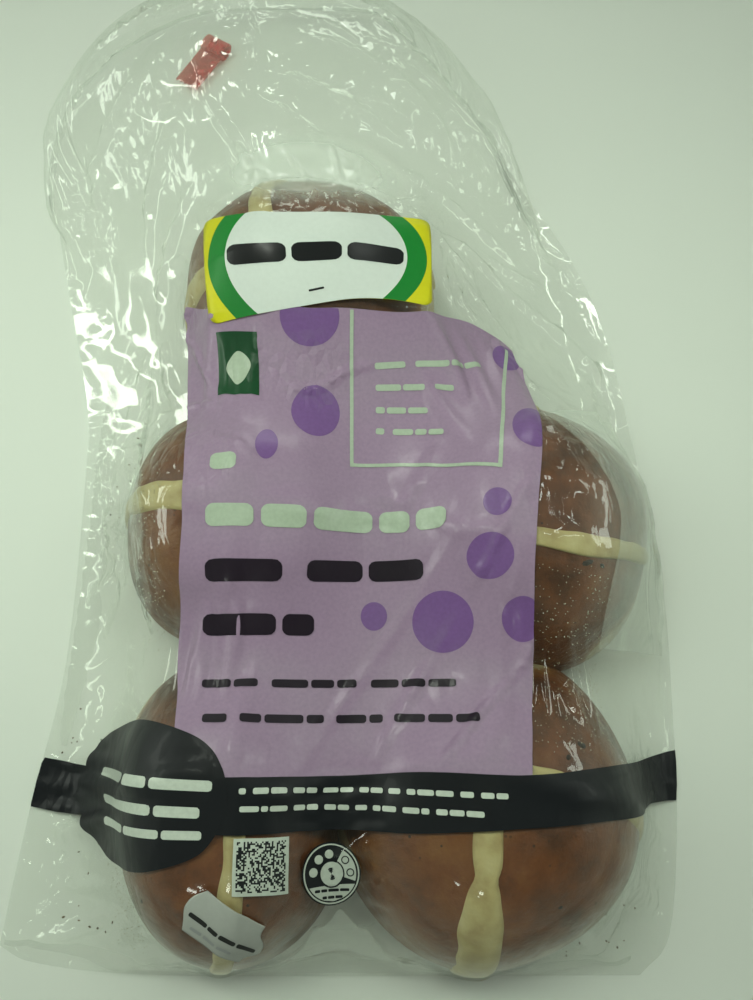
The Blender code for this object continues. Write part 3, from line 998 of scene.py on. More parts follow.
keep(makeBackFilm(), "film", "bag")
print("film made")

# the print on the film
# Plan places are in millimetres on the bag, before the film's wrinkles move them.

inks = {
    "lilac": inkMaterial("inkLilac", (0.325, 0.215, 0.335)),
    "purple": inkMaterial("inkPurple", (0.185, 0.088, 0.27)),
    "sage": inkMaterial("inkSage", (0.40, 0.46, 0.37)),
    "forest": inkMaterial("inkForest", (0.008, 0.062, 0.022), coat=0.08),
    "navy": inkMaterial("inkNavy", (0.0085, 0.0095, 0.0125), roughness=0.45, coat=0.04),
    "aubergine": inkMaterial("inkAubergine", (0.016, 0.009, 0.018), roughness=0.4),
    "chalk": inkMaterial("inkChalk", (0.55, 0.58, 0.53)),
}


def overFilm(points, lift):
    points = np.asarray(points) * 0.001
    return onFilm(points[..., 0], points[..., 1], lift * 0.001)


def sheet(name, plan, ink, lift, milkier=0.0, place=overFilm):
    rows, columns = plan.shape[:2]
    piece = makePiece(name, place(plan, lift), gridFaces(rows, columns), [ink])
    return keep(addLayers(piece, plan, milkier), "film", "bag")


def gather(name, patches, materials, lift, place=overFilm, slot="film", node="bag"):
    # one piece from many patches, each a plan grid with the number of its material
    points, faces, slots, start = [], [], [], 0
    for plan, material, closed in patches:
        rows, columns = plan.shape[:2]
        points.append(place(plan, lift).reshape(-1, 3))
        quads = gridFaces(rows, columns, closed)
        faces.append(quads + start)
        slots.append(np.full(len(quads), material))
        start += rows * columns
    piece = makePiece(name, np.vstack(points), np.vstack(faces), materials, np.concatenate(slots))
    if place is overFilm:
        addLayers(piece, np.vstack([plan.reshape(-1, 2) for plan, _, _ in patches]))
    return keep(piece, slot, node)


def roundedBlock(start, end, height, cells=(10, 14)):
    # a bar standing on the line from start to end, with round corners
    start, end = np.array(start, dtype=float), np.array(end, dtype=float)
    along = end - start
    length = np.linalg.norm(along)
    along /= length
    up = np.array([-along[1], along[0]])
    radius = 0.34 * min(length, height)
    reach = 0.5 - 0.5 * np.cos(np.linspace(0, math.pi, cells[1]))
    distance = reach * length
    inset = np.clip(radius - np.minimum(distance, length - distance), 0, radius)
    half = 0.5 * height - radius + np.sqrt(np.maximum(radius**2 - inset**2, (0.15 * radius) ** 2))
    share = np.linspace(-1, 1, cells[0])
    middle = start + up * 0.5 * height + distance[:, None] * along
    grid = middle[None] + share[:, None, None] * half[None, :, None] * up
    return grid


def wordBlocks(line, random, weight):
    # a word as a short row of plain dashes: where it stands, its height and how many letters it replaces
    x0, y0, x1, y1, height, count = line
    count = max(1, round(0.45 * count))
    widths = random.uniform(0.6, 1.6, count)
    edges = np.concatenate([[0], np.cumsum(widths)]) / widths.sum()
    length = math.hypot(x1 - x0, y1 - y0)
    gap = 0.11 * height / length
    patches = []
    for number in range(count):
        a = edges[number] + (gap if number else 0.0)
        b = edges[number + 1] - (gap if number < count - 1 else 0.0)
        lift = 0.5 * (1 - weight) * height
        first = (x0 + a * (x1 - x0), y0 + a * (y1 - y0) + lift)
        last = (x0 + b * (x1 - x0), y0 + b * (y1 - y0) + lift)
        patches.append(roundedBlock(first, last, weight * height))
    return patches


def lineBlocks(line, random, weight):
    # a printed line split into its words, in proportion to their letters and the gaps between them
    x0, y0, x1, y1, height, words = line
    total = sum(words) + len(words) - 1
    patches, reach = [], 0
    for letters in words:
        a, b = reach / total, (reach + letters) / total
        start = (x0 + a * (x1 - x0), y0 + a * (y1 - y0))
        end = (x0 + b * (x1 - x0), y0 + b * (y1 - y0))
        patches += wordBlocks((*start, *end, height, letters), random, weight)
        reach += letters + 1
    return patches


def ringPatch(centre, radii, inner=0.0, start=0.0, stop=360.0, rings=12, spokes=64, limit=None):
    # a disc, a ring or a sector; limit(x, y, dx, dy) can shorten a spoke
    full = stop - start >= 360.0
    angle = np.radians(np.linspace(start, stop, spokes, endpoint=not full))
    reach = np.linspace(inner, 1.0, rings)[:, None]
    dx, dy = radii[0] * np.cos(angle), radii[1] * np.sin(angle)
    if limit is not None:
        cut = np.array([limit(centre[0], centre[1], a, b) for a, b in zip(dx, dy)])
        dx, dy = dx * cut, dy * cut
    x = centre[0] + reach * dx
    y = centre[1] + reach * dy
    grid = np.stack([x, y], axis=-1)[::-1]
    return grid, full


panelKit = {
    "left": (
        (-38.1, -118.8), (-39.7, -104.0), (-43.0, -87.3), (-41.8, -70.5), (-40.0, -48.5), (-42.1, -22.6),
        (-49.0, 8.1), (-49.7, 29.4)),
    "right": (
        (55.6, -118.8), (57.6, -103.9), (59.6, -87.8), (60.1, -77.0), (60.1, -60.8), (61.7, -44.0),
        (64.8, -21.3), (65.3, -1.7), (64.0, 11.6), (63.7, 17.8)),
    "bottom": ((-38.1, -118.8), (-23.7, -119.0), (2.7, -119.2), (30.1, -118.3), (55.6, -118.8)),
    "top": (
        (-49.7, 29.4), (-34.8, 21.9), (-8.7, 19.6), (4.8, 20.1), (21.5, 20.0), (36.0, 22.6), (48.9, 25.1),
        (59.7, 21.0), (63.7, 17.8)),
    # each dot: its middle, and its half width and half height
    "dots": (
        ((-5.7, 17.2), (8.9, 8.9)), ((-3.5, -12.4), (7.5, 8.4)), ((-17.8, -25.1), (3.2, 5.2)),
        ((59.9, 12.2), (4.6, 5.9)), ((62.2, -20.4), (5.6, 7.9)), ((50.8, -44.3), (3.8, 4.1)),
        ((48.4, -59.3), (6.2, 6.2)), ((34.3, -76.8), (8.8, 8.7)), ((14.5, -74.8), (3.8, 4.1)),
        ((56.7, -76.6), (5.7, 6.3))),
    "frame": (
        ((6.9, 19.7), (7.3, 5.2), (7.7, -10.4), (7.8, -29.6)),
        ((7.3, -29.0), (22.5, -28.7), (37.9, -30.9), (52.5, -33.5)),
        ((52.0, -34.0), (53.6, -20.7), (56.6, -2.3), (60.8, 16.6))),
    "frameWidth": 1.1,
    # lines of print: both ends, height, and the letters of each word
    "sageLines": (
        (14.7, 1.8, 50.1, 6.0, 2.9, (3, 7)), (15.1, -4.9, 40.0, -3.6, 2.9, (5, 2)),
        (15.2, -12.0, 31.4, -12.1, 2.9, (6,)), (15.2, -18.8, 36.2, -20.0, 2.9, (1, 6)),
        (-33.2, -35.0, -25.8, -35.1, 7.6, (1,)), (-33.4, -52.0, 37.0, -51.6, 9.3, (11,))),
    "darkLines": ((-33.3, -66.8, 29.4, -65.6, 8.2, (3, 5)), (-34.8, -81.9, -2.7, -81.6, 8.2, (4,))),
    "slimLines": (
        (-33.9, -96.0, 37.5, -95.7, 3.9, (4, 6, 6)), (-32.2, -105.6, 43.6, -105.4, 3.9, (2, 7, 4, 7))),
    "box": dict(
        left=((-34.8, -5.7), (-35.0, 15.0)), right=((-21.0, -7.5), (-21.8, 13.1)),
        bottom=((-34.8, -5.7), (-21.0, -7.5)), top=((-35.0, 15.0), (-21.8, 13.1))),
    "lozenge": ((-27.9, -3.2), (-31.6, 1.4), (-31.3, 5.0), (-28.2, 8.0), (-24.6, 5.0), (-24.1, 1.4)),
}

bandKit = {
    "left": ((-95.4, -130.7), (-96.0, -123.0), (-92.7, -115.8)),
    "right": ((111.0, -128.9), (111.9, -121.0), (112.1, -113.6)),
    "bottom": (
        (-95.4, -130.7), (-87.3, -132.0), (-76.0, -132.3), (-50.0, -132.4), (-22.5, -132.2), (-5.4, -132.3),
        (22.0, -132.6), (46.9, -131.0), (73.1, -129.5), (91.7, -129.8), (111.0, -128.9)),
    "top": (
        (-92.7, -115.8), (-80.0, -117.6), (-68.8, -117.8), (-45.0, -118.3), (-23.7, -118.4), (2.7, -118.6),
        (30.1, -117.6), (55.3, -117.8), (75.3, -116.3), (100.1, -116.3), (112.1, -113.6)),
    "roundel": (
        (-46.2, -104.6), (-63.0, -105.4), (-75.5, -110.2), (-80.4, -118.5), (-80.6, -126.9), (-76.5, -135.4),
        (-67.0, -141.0), (-53.5, -142.6), (-41.9, -140.9), (-29.2, -135.8), (-23.7, -123.2), (-29.9, -110.4)),
    "lines": (
        (-21.1, -122.9, 49.3, -124.0, 2.2, (1, 5, 4, 5, 4, 2, 7, 2, 4)),
        (-20.8, -127.2, 43.2, -128.4, 2.2, (7, 4, 4, 2, 4, 4, 7))),
    "roundelLines": (
        (-72.0, -121.0, -27.7, -122.7, 4.4, (7,)), (-67.3, -128.2, -30.7, -129.2, 4.4, (5,)),
        (-65.7, -134.0, -30.0, -134.2, 3.6, (7,))),
}


def ribbonPatch(path, width, count, rows=3):
    line = smoothSide(path, count)
    along = np.gradient(line, axis=0)
    along /= np.linalg.norm(along, axis=1, keepdims=True)
    beside = np.stack([-along[:, 1], along[:, 0]], axis=-1)
    return line[None] + np.linspace(-0.5, 0.5, rows)[:, None, None] * width * beside[None]


def closedPatch(loop, rings=26, spokes=128):
    # a filled outline: spokes from its middle to a smooth closed loop of points
    knots = np.array([*loop, loop[0]])
    curve = smoothThrough(np.vstack([knots[-2:-1], knots, knots[1:2]]))
    rim = evenlyAlong(curve, lambda length: np.linspace(0, length, spokes, endpoint=False))
    middle = rim.mean(axis=0)
    return middle + np.linspace(0, 1, rings)[:, None, None] * (rim - middle)


def makePrint():
    random = np.random.default_rng(12)
    panel = fillSides(panelKit, 190, 250)
    sheet("print_panel", panel, inks["lilac"], 0.16)
    edge = panel[:, -1]
    head = panel[-1]

    def insidePanel(x, y, dx, dy):
        # share of a spoke that stays inside the panel's right and top edges
        steps = np.linspace(0, 1, 60)
        px, py = x + steps * dx, y + steps * dy
        good = (px <= np.interp(py, edge[:, 1], edge[:, 0])) & (py <= np.interp(px, head[:, 0], head[:, 1]))
        return steps[np.argmin(good) - 1] if not good.all() else 1.0

    def printed(lines, weight):
        return [(grid, 0, False) for line in lines for grid in lineBlocks(line, random, weight)]

    dots = [ringPatch(centre, radii, limit=insidePanel) for centre, radii in panelKit["dots"]]
    gather("print_dots", [(grid, 0, full) for grid, full in dots], [inks["purple"]], 0.28)
    frameLines = [(ribbonPatch(path, panelKit["frameWidth"], 90), 0, False) for path in panelKit["frame"]]
    gather("print_sage", frameLines + printed(panelKit["sageLines"], 0.70), [inks["sage"]], 0.40)
    words = printed(panelKit["darkLines"], 0.74) + printed(panelKit["slimLines"], 0.58)
    gather("print_dark", words, [inks["aubergine"]], 0.40)
    sheet("print_box", fillSides(panelKit["box"], 30, 40), inks["forest"], 0.30)
    gather("print_lozenge", [(closedPatch(panelKit["lozenge"], 8, 40), 0, True)], [inks["sage"]], 0.42)
    sheet("print_band", fillSides(bandKit, 340, 26), inks["navy"], 0.30)
    gather("print_roundel", [(closedPatch(bandKit["roundel"], 60, 160), 0, True)], [inks["navy"]], 0.40)
    words = printed(bandKit["lines"], 0.62) + printed(bandKit["roundelLines"], 0.60)
    gather("print_chalk", words, [inks["chalk"]], 0.52)


def makeCodeSquare():
    # a white square of random dark cells
    side = dict(
        left=((-22.1, -146.5), (-21.8, -132.9)), right=((-8.8, -147.4), (-8.4, -133.3)),
        bottom=((-22.1, -146.5), (-8.8, -147.4)), top=((-21.8, -132.9), (-8.4, -133.3)))
    cells = 34
    plan = fillSides(side, cells, cells)
    random = np.random.default_rng(77)
    dark = random.random((cells, cells)) < 0.52
    dark[:2] = dark[-2:] = False
    dark[:, :2] = dark[:, -2:] = False
    faces = gridFaces(cells + 1, cells + 1)
    colours = [inks["chalk"], inks["navy"]]
    piece = makePiece("code_square", overFilm(plan, 0.34), faces, colours, dark.reshape(-1).astype(int))
    keep(piece, "film", "bag")


def calmFilm(centre, reach):
    # a placing function for small artwork, on a gentle curved surface fitted to the film there
    def powers(x, y):
        x, y = (x - centre[0]) / reach, (y - centre[1]) / reach
        return np.stack([np.ones_like(x), x, y, x * x, x * y, y * y], axis=-1)

    x, y = [axis.reshape(-1) for axis in np.meshgrid(np.linspace(-1, 1, 15), np.linspace(-1, 1, 15))]
    x, y = centre[0] + reach * x, centre[1] + reach * y
    film = overFilm(np.stack([x, y], axis=-1), 0.3)
    fit = np.linalg.lstsq(powers(x, y), film, rcond=None)[0]

    def place(points, lift):
        points = np.asarray(points)
        up = np.cross(fit[1], fit[2])
        up /= np.linalg.norm(up)
        return powers(points[..., 0], points[..., 1]) @ fit + up * lift * 0.001

    return place


def makeRatingDisc():
    # a generic score badge: dark disc, pale rim, pale lower part, pale middle and plain dots
    centre, rx, ry = (3.0, -144.0), 8.0, 8.8
    place = calmFilm(centre, 9.0)
    pale, dark = 0, 1
    colours = [inks["chalk"], inks["navy"]]

    def ring(size, colour, **kit):
        return ringPatch(centre, (size * rx, size * ry), **kit)[0], colour, kit.get("stop") is None

    def spot(share, angle, radii, colour, **kit):
        angle = math.radians(angle)
        middle = (centre[0] + share * rx * math.cos(angle), centre[1] + share * ry * math.sin(angle))
        return ringPatch(middle, radii, **kit)[0], colour, True

    gather("badge_base", [ring(1.0, dark)], colours, 0.34, place=place)
    low = []
    chord = -0.36
    rim = 0.86
    for share in np.linspace(0, 1, 9):
        depth = chord + share * (-rim - chord)
        half = math.sqrt(max(rim**2 - depth**2, 0.0004))
        row = [(centre[0] + rx * half * side, centre[1] + ry * depth) for side in np.linspace(-1, 1, 24)]
        low.append(row)
    marks = [(np.array(low)[::-1], pale, False)]
    marks.append(ring(0.95, pale, inner=0.95, rings=3))
    marks.append(ring(0.84, pale, inner=0.42, start=-18, stop=62, spokes=24))
    marks += [spot(0.62, angle, (1.15, 1.25), pale, rings=4, spokes=20) for angle in (96, 132, 172)]
    gather("badge_marks", marks, colours, 0.44, place=place)
    top = [ring(0.38, pale, rings=6)]
    top += [spot(0.64, angle, (1.1, 1.2), dark, inner=0.72, rings=3, spokes=24) for angle in (42, 2)]
    top.append(ring(0.44, dark, inner=0.90, rings=3))
    barEnds = [(centre[0] + side, centre[1] - 1.7) for side in (-0.9, 0.9)]
    top.append((roundedBlock(*barEnds, 3.4), dark, False))
    random = np.random.default_rng(3)
    for line in ((-1.9, -148.9, 7.6, -149.4, 1.3, 9), (0.0, -150.9, 5.6, -151.2, 1.3, 6)):
        top += [(grid, dark, False) for grid in wordBlocks(line, random, 0.6)]
    gather("badge_detail", top, colours, 0.54, place=place)


foldStrips = {
    # film lying double: a path and width, or four sides, and how much milkier it is
    "film_fold_left": dict(
        path=((-67, 8), (-64, -14), (-57, -35), (-55, -52), (-53, -79)), width=6.0, milk=0.05),
    "film_fold_side": dict(path=((-84, 14), (-83, -30), (-84, -72), (-88, -112)), width=7.0, milk=0.05),
    "film_fold_seam": dict(
        path=((-98, -169), (-60, -173.5), (-20, -174.8), (22, -175), (60, -175), (92, -173.5)),
        width=5.5, milk=0.06),
    "film_fold_right": dict(
        left=((81, -84), (81, -71), (84, -56), (85, -44), (77, -27), (66, -14)),
        right=((109, -84), (110, -55), (106, -30), (99, -6)),
        bottom=((81, -84), (109, -84)), top=((66, -14), (84, -7), (99, -6)), milk=0.11),
    "film_fold_gusset": dict(
        left=((-14, -171), (-6, -163), (4, -154)), right=((31, -171), (18, -166), (5, -154)),
        bottom=((-14, -171), (31, -171)), top=((4, -154), (5, -154)), milk=0.16),
}


def makeFoldStrips():
    # a strip along a path narrows to nothing at both ends
    taper = np.sqrt(np.sin(math.pi * np.linspace(0.01, 0.99, 151)))[None, :, None]
    for name, strip in foldStrips.items():
        if "path" in strip:
            plan = ribbonPatch(strip["path"], strip["width"] * taper, 150, rows=9)
        else:
            plan = fillSides(strip, 44, 80)
        sheet(name, plan, clearSkin, 0.75, strip["milk"])


fruitSpots = (
    # plan place in millimetres, length, width and turn of each sultana that breaks the crust
    (75, -61, 4.8, 2.2, 8), (79.5, -61.5, 2.4, 1.7, -30), (71, -110.5, 3.8, 2.2, -12),
    (66.5, -113.5, 2.2, 1.6, 40), (62, -150, 1.8, 1.3, 10), (-47, -150, 1.7, 1.2, 70),
    (-56, -133, 1.5, 1.1, 20),
)


def makeFruit():
    # wrinkled ovals sunk most of the way into the crust
    random = np.random.default_rng(33)
    shape = bmesh.new()
    bmesh.ops.create_icosphere(shape, subdivisions=4, radius=1.0)
    ball = np.array([vertex.co for vertex in shape.verts])
    faces = np.array([[vertex.index for vertex in face.verts] for face in shape.faces])
    shape.free()
    for number, (x, y, length, width, turn) in enumerate(fruitSpots):
        above = onFilm(np.array([x * 0.001]), np.array([y * 0.001]), 0.0)[0]
        hit, normal = bunTree.ray_cast(Vector(above), Vector((0, 0, -1)))[:2]
        turn = math.radians(turn)
        across = Vector((math.cos(turn), math.sin(turn), 0)).cross(normal).normalized()
        along = normal.cross(across)
        coarse = np.sin(ball @ (random.standard_normal(3) * 7))
        wrinkle = 1 + 0.10 * coarse * np.sin(ball @ (random.standard_normal(3) * 5))
        size = np.array([0.5 * length, 0.5 * width, 0.42 * width]) * 0.001
        points = ball * wrinkle[:, None] * size
        points = points @ np.array([along, across, normal]) + np.array(hit - normal * 0.28 * width * 0.001)
        keep(makePiece("sultana_" + str(number + 1), points, faces, [fruit]), "film", "bag")


def dropMaterial():
    tone = [(0.3, (0.30, 0.24, 0.15)), (0.7, (0.62, 0.62, 0.52))]
    return plainMaterial("moisture", tone, (900.0, 1.0), 0.12)[0]


def crumbMaterial():
    tone = [(0.3, (0.045, 0.022, 0.012)), (0.7, (0.20, 0.12, 0.06))]
    return plainMaterial("crumb", tone, (1200.0, 3.0), 0.7, (1500.0, 3.0, 0.0002))[0]


sprinkles = {
    # density is in pieces for each square millimetre; regions are plan corners in millimetres
    "film_droplets": dict(
        density=0.20, size=0.00024, seed=4, lift=-0.45, material=dropMaterial(),
        regions=(
            ((57, -98), (83, -62)), ((-58, -84), (-47, -28)),
            ((-64, -170), (-51, -122)), ((58, -112), (84, -94)))),
    "film_crumbs": dict(
        density=0.012, size=0.00046, seed=9, lift=-0.40, material=crumbMaterial(),
        regions=(
            ((-91, -126), (-76, -98)), ((-86, -168), (-64, -140)),
            ((70, -174), (98, -150)), ((-80, -40), (-66, 0)))),
}


def sprinkleTree():
    # scatters small faceted balls of random size and turn over a patch
    tree = bpy.data.node_groups.new("sprinkle", "GeometryNodeTree")
    sockets = {}
    for name, kind in (
        ("Geometry", "Geometry"),
        ("Density", "Float"),
        ("Size", "Float"),
        ("Seed", "Int"),
        ("Material", "Material"),
    ):
        socket = tree.interface.new_socket(name=name, in_out="INPUT", socket_type="NodeSocket" + kind)
        sockets[name] = socket.identifier
    tree.interface.new_socket(name="Geometry", in_out="OUTPUT", socket_type="NodeSocketGeometry")
    given = addNode(tree, "NodeGroupInput")
    scatter = addNode(tree, "GeometryNodeDistributePointsOnFaces")
    ball = addNode(tree, "GeometryNodeMeshIcoSphere")
    size = addNode(tree, "FunctionNodeRandomValue", data_type="FLOAT_VECTOR")
    turn = addNode(tree, "FunctionNodeRandomValue", data_type="FLOAT_VECTOR")
    place = addNode(tree, "GeometryNodeInstanceOnPoints")
    real = addNode(tree, "GeometryNodeRealizeInstances")
    paint = addNode(tree, "GeometryNodeSetMaterial")
    result = addNode(tree, "NodeGroupOutput")
    size.inputs["Min"].default_value = (0.35, 0.35, 0.30)
    size.inputs["Max"].default_value = (1.30, 1.00, 0.80)
    turn.inputs["Max"].default_value = (6.28, 6.28, 6.28)
    links = (
        (given.outputs["Geometry"], scatter.inputs["Mesh"]),
        (given.outputs["Density"], scatter.inputs["Density"]),
        (given.outputs["Seed"], scatter.inputs["Seed"]),
        (given.outputs["Size"], ball.inputs["Radius"]),
        (scatter.outputs["Points"], place.inputs["Points"]),
        (ball.outputs["Mesh"], place.inputs["Instance"]),
        (size.outputs["Value"], place.inputs["Scale"]),
        (turn.outputs["Value"], place.inputs["Rotation"]),
        (place.outputs["Instances"], real.inputs["Geometry"]),
        (real.outputs["Geometry"], paint.inputs["Geometry"]),
        (given.outputs["Material"], paint.inputs["Material"]),
        (paint.outputs["Geometry"], result.inputs["Geometry"]),
    )
    for start, end in links:
        tree.links.new(start, end)
    return tree, sockets


def makeSprinkles():
    tree, sockets = sprinkleTree()
    for name, kit in sprinkles.items():
        points, faces, start = [], [], 0
        for (x0, y0), (x1, y1) in kit["regions"]:
            plan = np.stack(np.meshgrid(np.linspace(x0, x1, 24), np.linspace(y0, y1, 30)), axis=-1)
            points.append(overFilm(plan, kit["lift"]).reshape(-1, 3))
            faces.append(gridFaces(30, 24) + start)
            start += 30 * 24
        patch = makePiece(name, np.vstack(points), np.vstack(faces), [kit["material"]])
        nodes = patch.modifiers.new("sprinkle", "NODES")
        nodes.node_group = tree
        nodes[sockets["Density"]] = kit["density"] * 1e6
        nodes[sockets["Size"]] = kit["size"]
        nodes[sockets["Seed"]] = kit["seed"]
        nodes[sockets["Material"]] = kit["material"]
        evaluated = patch.evaluated_get(bpy.context.evaluated_depsgraph_get())
        scattered = bpy.data.meshes.new_from_object(evaluated)
        patch.modifiers.remove(nodes)
        patch.data = scattered
        keep(patch, "film", "bag")


makePrint()
makeCodeSquare()
makeRatingDisc()
print("print made")
makeFoldStrips()
makeFruit()
makeSprinkles()
print("fold strips, fruit, droplets and crumbs made")

# paper stickers

labelKit = {
    "left": ((-34.8, -154.8), (-34.2, -152.2), (-33.7, -148.9), (-31.4, -146.4), (-28.0, -145.1)),
    "right": (
        (-22.2, -164.8), (-20.4, -163.4), (-17.2, -162.9), (-15.6, -160.4), (-15.9, -157.3), (-14.6, -154.8)),
    "bottom": ((-34.8, -154.8), (-22.2, -164.8)),
    "top": ((-28.0, -145.1), (-14.6, -154.8)),
    "dark": (-33.0, -151.4, -18.2, -162.6, 2.0, 10),
    "faint": (-32.9, -155.3, -23.6, -162.2, 2.6, 6),
}

stickerKit = {
    "left": ((-36.0, 17.3), (-39.0, 36.3), (-41.9, 55.4)),
    "right": ((30.9, 23.0), (30.6, 39.0), (30.3, 54.8)),
    "bottom": (
        (-36.0, 17.3), (-22.0, 18.2), (-8.7, 19.6), (4.8, 22.7), (12.3, 23.6), (22.0, 23.4), (30.9, 23.0)),
    "top": (
        (-41.9, 55.4), (-31.0, 52.4), (-21.9, 50.6), (-4.9, 50.9), (11.6, 52.5), (21.0, 53.6), (30.3, 54.8)),
    # the colours are laid out on a flat sticker of this half width and half height
    "half": (35.5, 19.0),
    "corner": 3.0,
    "outer": 34.0,
    "outerBow": 7.0,
    "inner": 27.8,
    "innerBow": 8.0,
    "word": (-27.1, -1.6, 26.5, -4.0, 7.4, 7),
    "noteEnds": ((-3.2, -14.4), (1.6, -14.0)),
    "noteHeight": 0.8,
}


def makePlate(name, top, thickness, materials, slots, slot, node):
    # a closed thin plate from its top surface, given as a grid of points
    rows, columns = top.shape[:2]
    normal = netNormals(top)
    under = top - normal * thickness
    count = rows * columns
    faces = gridFaces(rows, columns)
    index = np.arange(count).reshape(rows, columns)
    rim = np.concatenate([index[0], index[1:, -1], index[-1, -2::-1], index[-2:0:-1, 0]])
    after = np.roll(rim, -1)
    wall = np.stack([after, rim, rim + count, after + count], axis=-1)
    if slots is not None:
        slots = np.concatenate([slots, slots, np.full(len(wall), slots[0])])
    points = np.vstack([top.reshape(-1, 3), under.reshape(-1, 3)])
    piece = makePiece(name, points, np.vstack([faces, faces[:, ::-1] + count, wall]), materials, slots)
    return keep(piece, slot, node)


def makeDateLabel():
    paper = paperMaterial("labelPaper", (0.42, 0.42, 0.405), 0.6)
    ink = paperMaterial("labelInk", (0.018, 0.018, 0.018), 0.6)
    faint = paperMaterial("labelStamp", (0.33, 0.33, 0.34), 0.6)
    top = overFilm(fillSides(labelKit, 44, 30), 0.62)
    makePlate("date_label_paper", top, 0.00016, [paper], None, "label", "date_label")
    random = np.random.default_rng(9)
    words = [(grid, 0, False) for grid in wordBlocks(labelKit["dark"], random, 0.6)]
    words += [(grid, 1, False) for grid in wordBlocks(labelKit["faint"], random, 0.32)]
    gather("date_label_marks", words, [ink, faint], 0.70, slot="label", node="date_label")


def makeSticker():
    paper = paperMaterial("stickerPaper", (0.66, 0.68, 0.67), 0.45, coat=0.1)
    green = paperMaterial("stickerGreen", (0.003, 0.21, 0.024), 0.45, coat=0.06)
    yellow = paperMaterial("stickerYellow", (0.66, 0.60, 0.004), 0.45, coat=0.06)
    ink = paperMaterial("stickerInk", (0.010, 0.010, 0.012), 0.35, coat=0.4)
    # columns follow the two bows, so that the colours meet on clean lines
    columns = [("yellow", 4), ("green", 7), ("paper", 70), ("green", 7), ("yellow", 4)]
    upward = 0.5 - 0.5 * np.cos(np.linspace(0, math.pi, 61))
    halfWidth, halfHeight = stickerKit["half"]
    corner = stickerKit["corner"]
    across, along = 80, 50
    rows = []
    for b in upward:
        v = 2 * b - 1
        inset = max(0.0, abs(v) * halfHeight - (halfHeight - corner))
        edge = halfWidth - corner + math.sqrt(max(corner**2 - inset**2, 0.02))
        outer = stickerKit["outer"] - stickerKit["outerBow"] * v * v
        inner = stickerKit["inner"] - stickerKit["innerBow"] * v * v
        outer = min(outer, edge - 0.05)
        marks = [-edge, -outer, -inner, inner, outer, edge]
        row = [marks[0]]
        for (_, count), low, high in zip(columns, marks[:-1], marks[1:]):
            row += list(low + (high - low) * np.arange(1, count + 1) / count)
        rows.append(row)
    a = (np.array(rows) / halfWidth + 1) * 0.5
    b = np.repeat(upward[:, None], a.shape[1], axis=1)
    base = fillSides(stickerKit, across, along)
    surface = overFilm(base, 0.9)
    for _ in range(40):
        # the paper is stiffer than the film under it
        calm = surface.copy()
        beside = surface[:-2, 1:-1] + surface[2:, 1:-1] + surface[1:-1, :-2] + surface[1:-1, 2:]
        calm[1:-1, 1:-1] = 0.25 * beside
        for side in (0, -1):
            calm[side, 1:-1] = 0.5 * (surface[side, :-2] + surface[side, 2:])
            calm[1:-1, side] = 0.5 * (surface[:-2, side] + surface[2:, side])
        surface = calm
    under = overFilm(base, 0.35)
    surface[..., 2] = np.maximum(surface[..., 2], under[..., 2])
    normals = netNormals(surface)
    top = pickNet(surface, b * along, a * across)
    names = {"paper": 0, "green": 1, "yellow": 2}
    slots = np.tile(np.concatenate([np.full(count, names[kind]) for kind, count in columns]), len(upward) - 1)
    makePlate("sticker_paper", top, 0.00022, [paper, green, yellow], slots, "sticker", "promotion_sticker")

    def onSticker(points, lift):
        t = (points[..., 1] / (2 * halfHeight) + 0.5) * along
        s = (points[..., 0] / (2 * halfWidth) + 0.5) * across
        return pickNet(surface, t, s) + pickNet(normals, t, s) * lift * 0.001

    random = np.random.default_rng(21)
    words = [(grid, 0, False) for grid in wordBlocks(stickerKit["word"], random, 1.0)]
    words.append((roundedBlock(*stickerKit["noteEnds"], stickerKit["noteHeight"]), 0, False))
    gather("sticker_marks", words, [ink], 0.10, place=onSticker, slot="sticker", node="promotion_sticker")


makeDateLabel()
makeSticker()
print("stickers made")

# stage, lights, camera

stageLook = {"floor": (0.78, 0.79, 0.755), "half": 1.6}


def makeStage():
    tone = [(0.3, tuple(channel * 0.985 for channel in stageLook["floor"])), (0.7, stageLook["floor"])]
    material = plainMaterial("paleTable", tone, (3.0, 2.0), 0.6)[0]
    half = stageLook["half"]
    corners = [(-half, -half, 0), (half, -half, 0), (half, half, 0), (-half, half, 0)]
    floor = makePiece("table", corners, [(0, 1, 2, 3)], [material])


def addLight(name, place, target, size, power, colour):
    data = bpy.data.lights.new(name, "AREA")
    data.shape = "RECTANGLE"
    data.size, data.size_y = size
    data.energy = power
    data.color = colour
    lamp = bpy.data.objects.new(name, data)
    lamp.location = place
    lamp.rotation_euler = (Vector(target) - Vector(place)).to_track_quat("-Z", "Y").to_euler()
    bpy.context.scene.collection.objects.link(lamp)
    return lamp


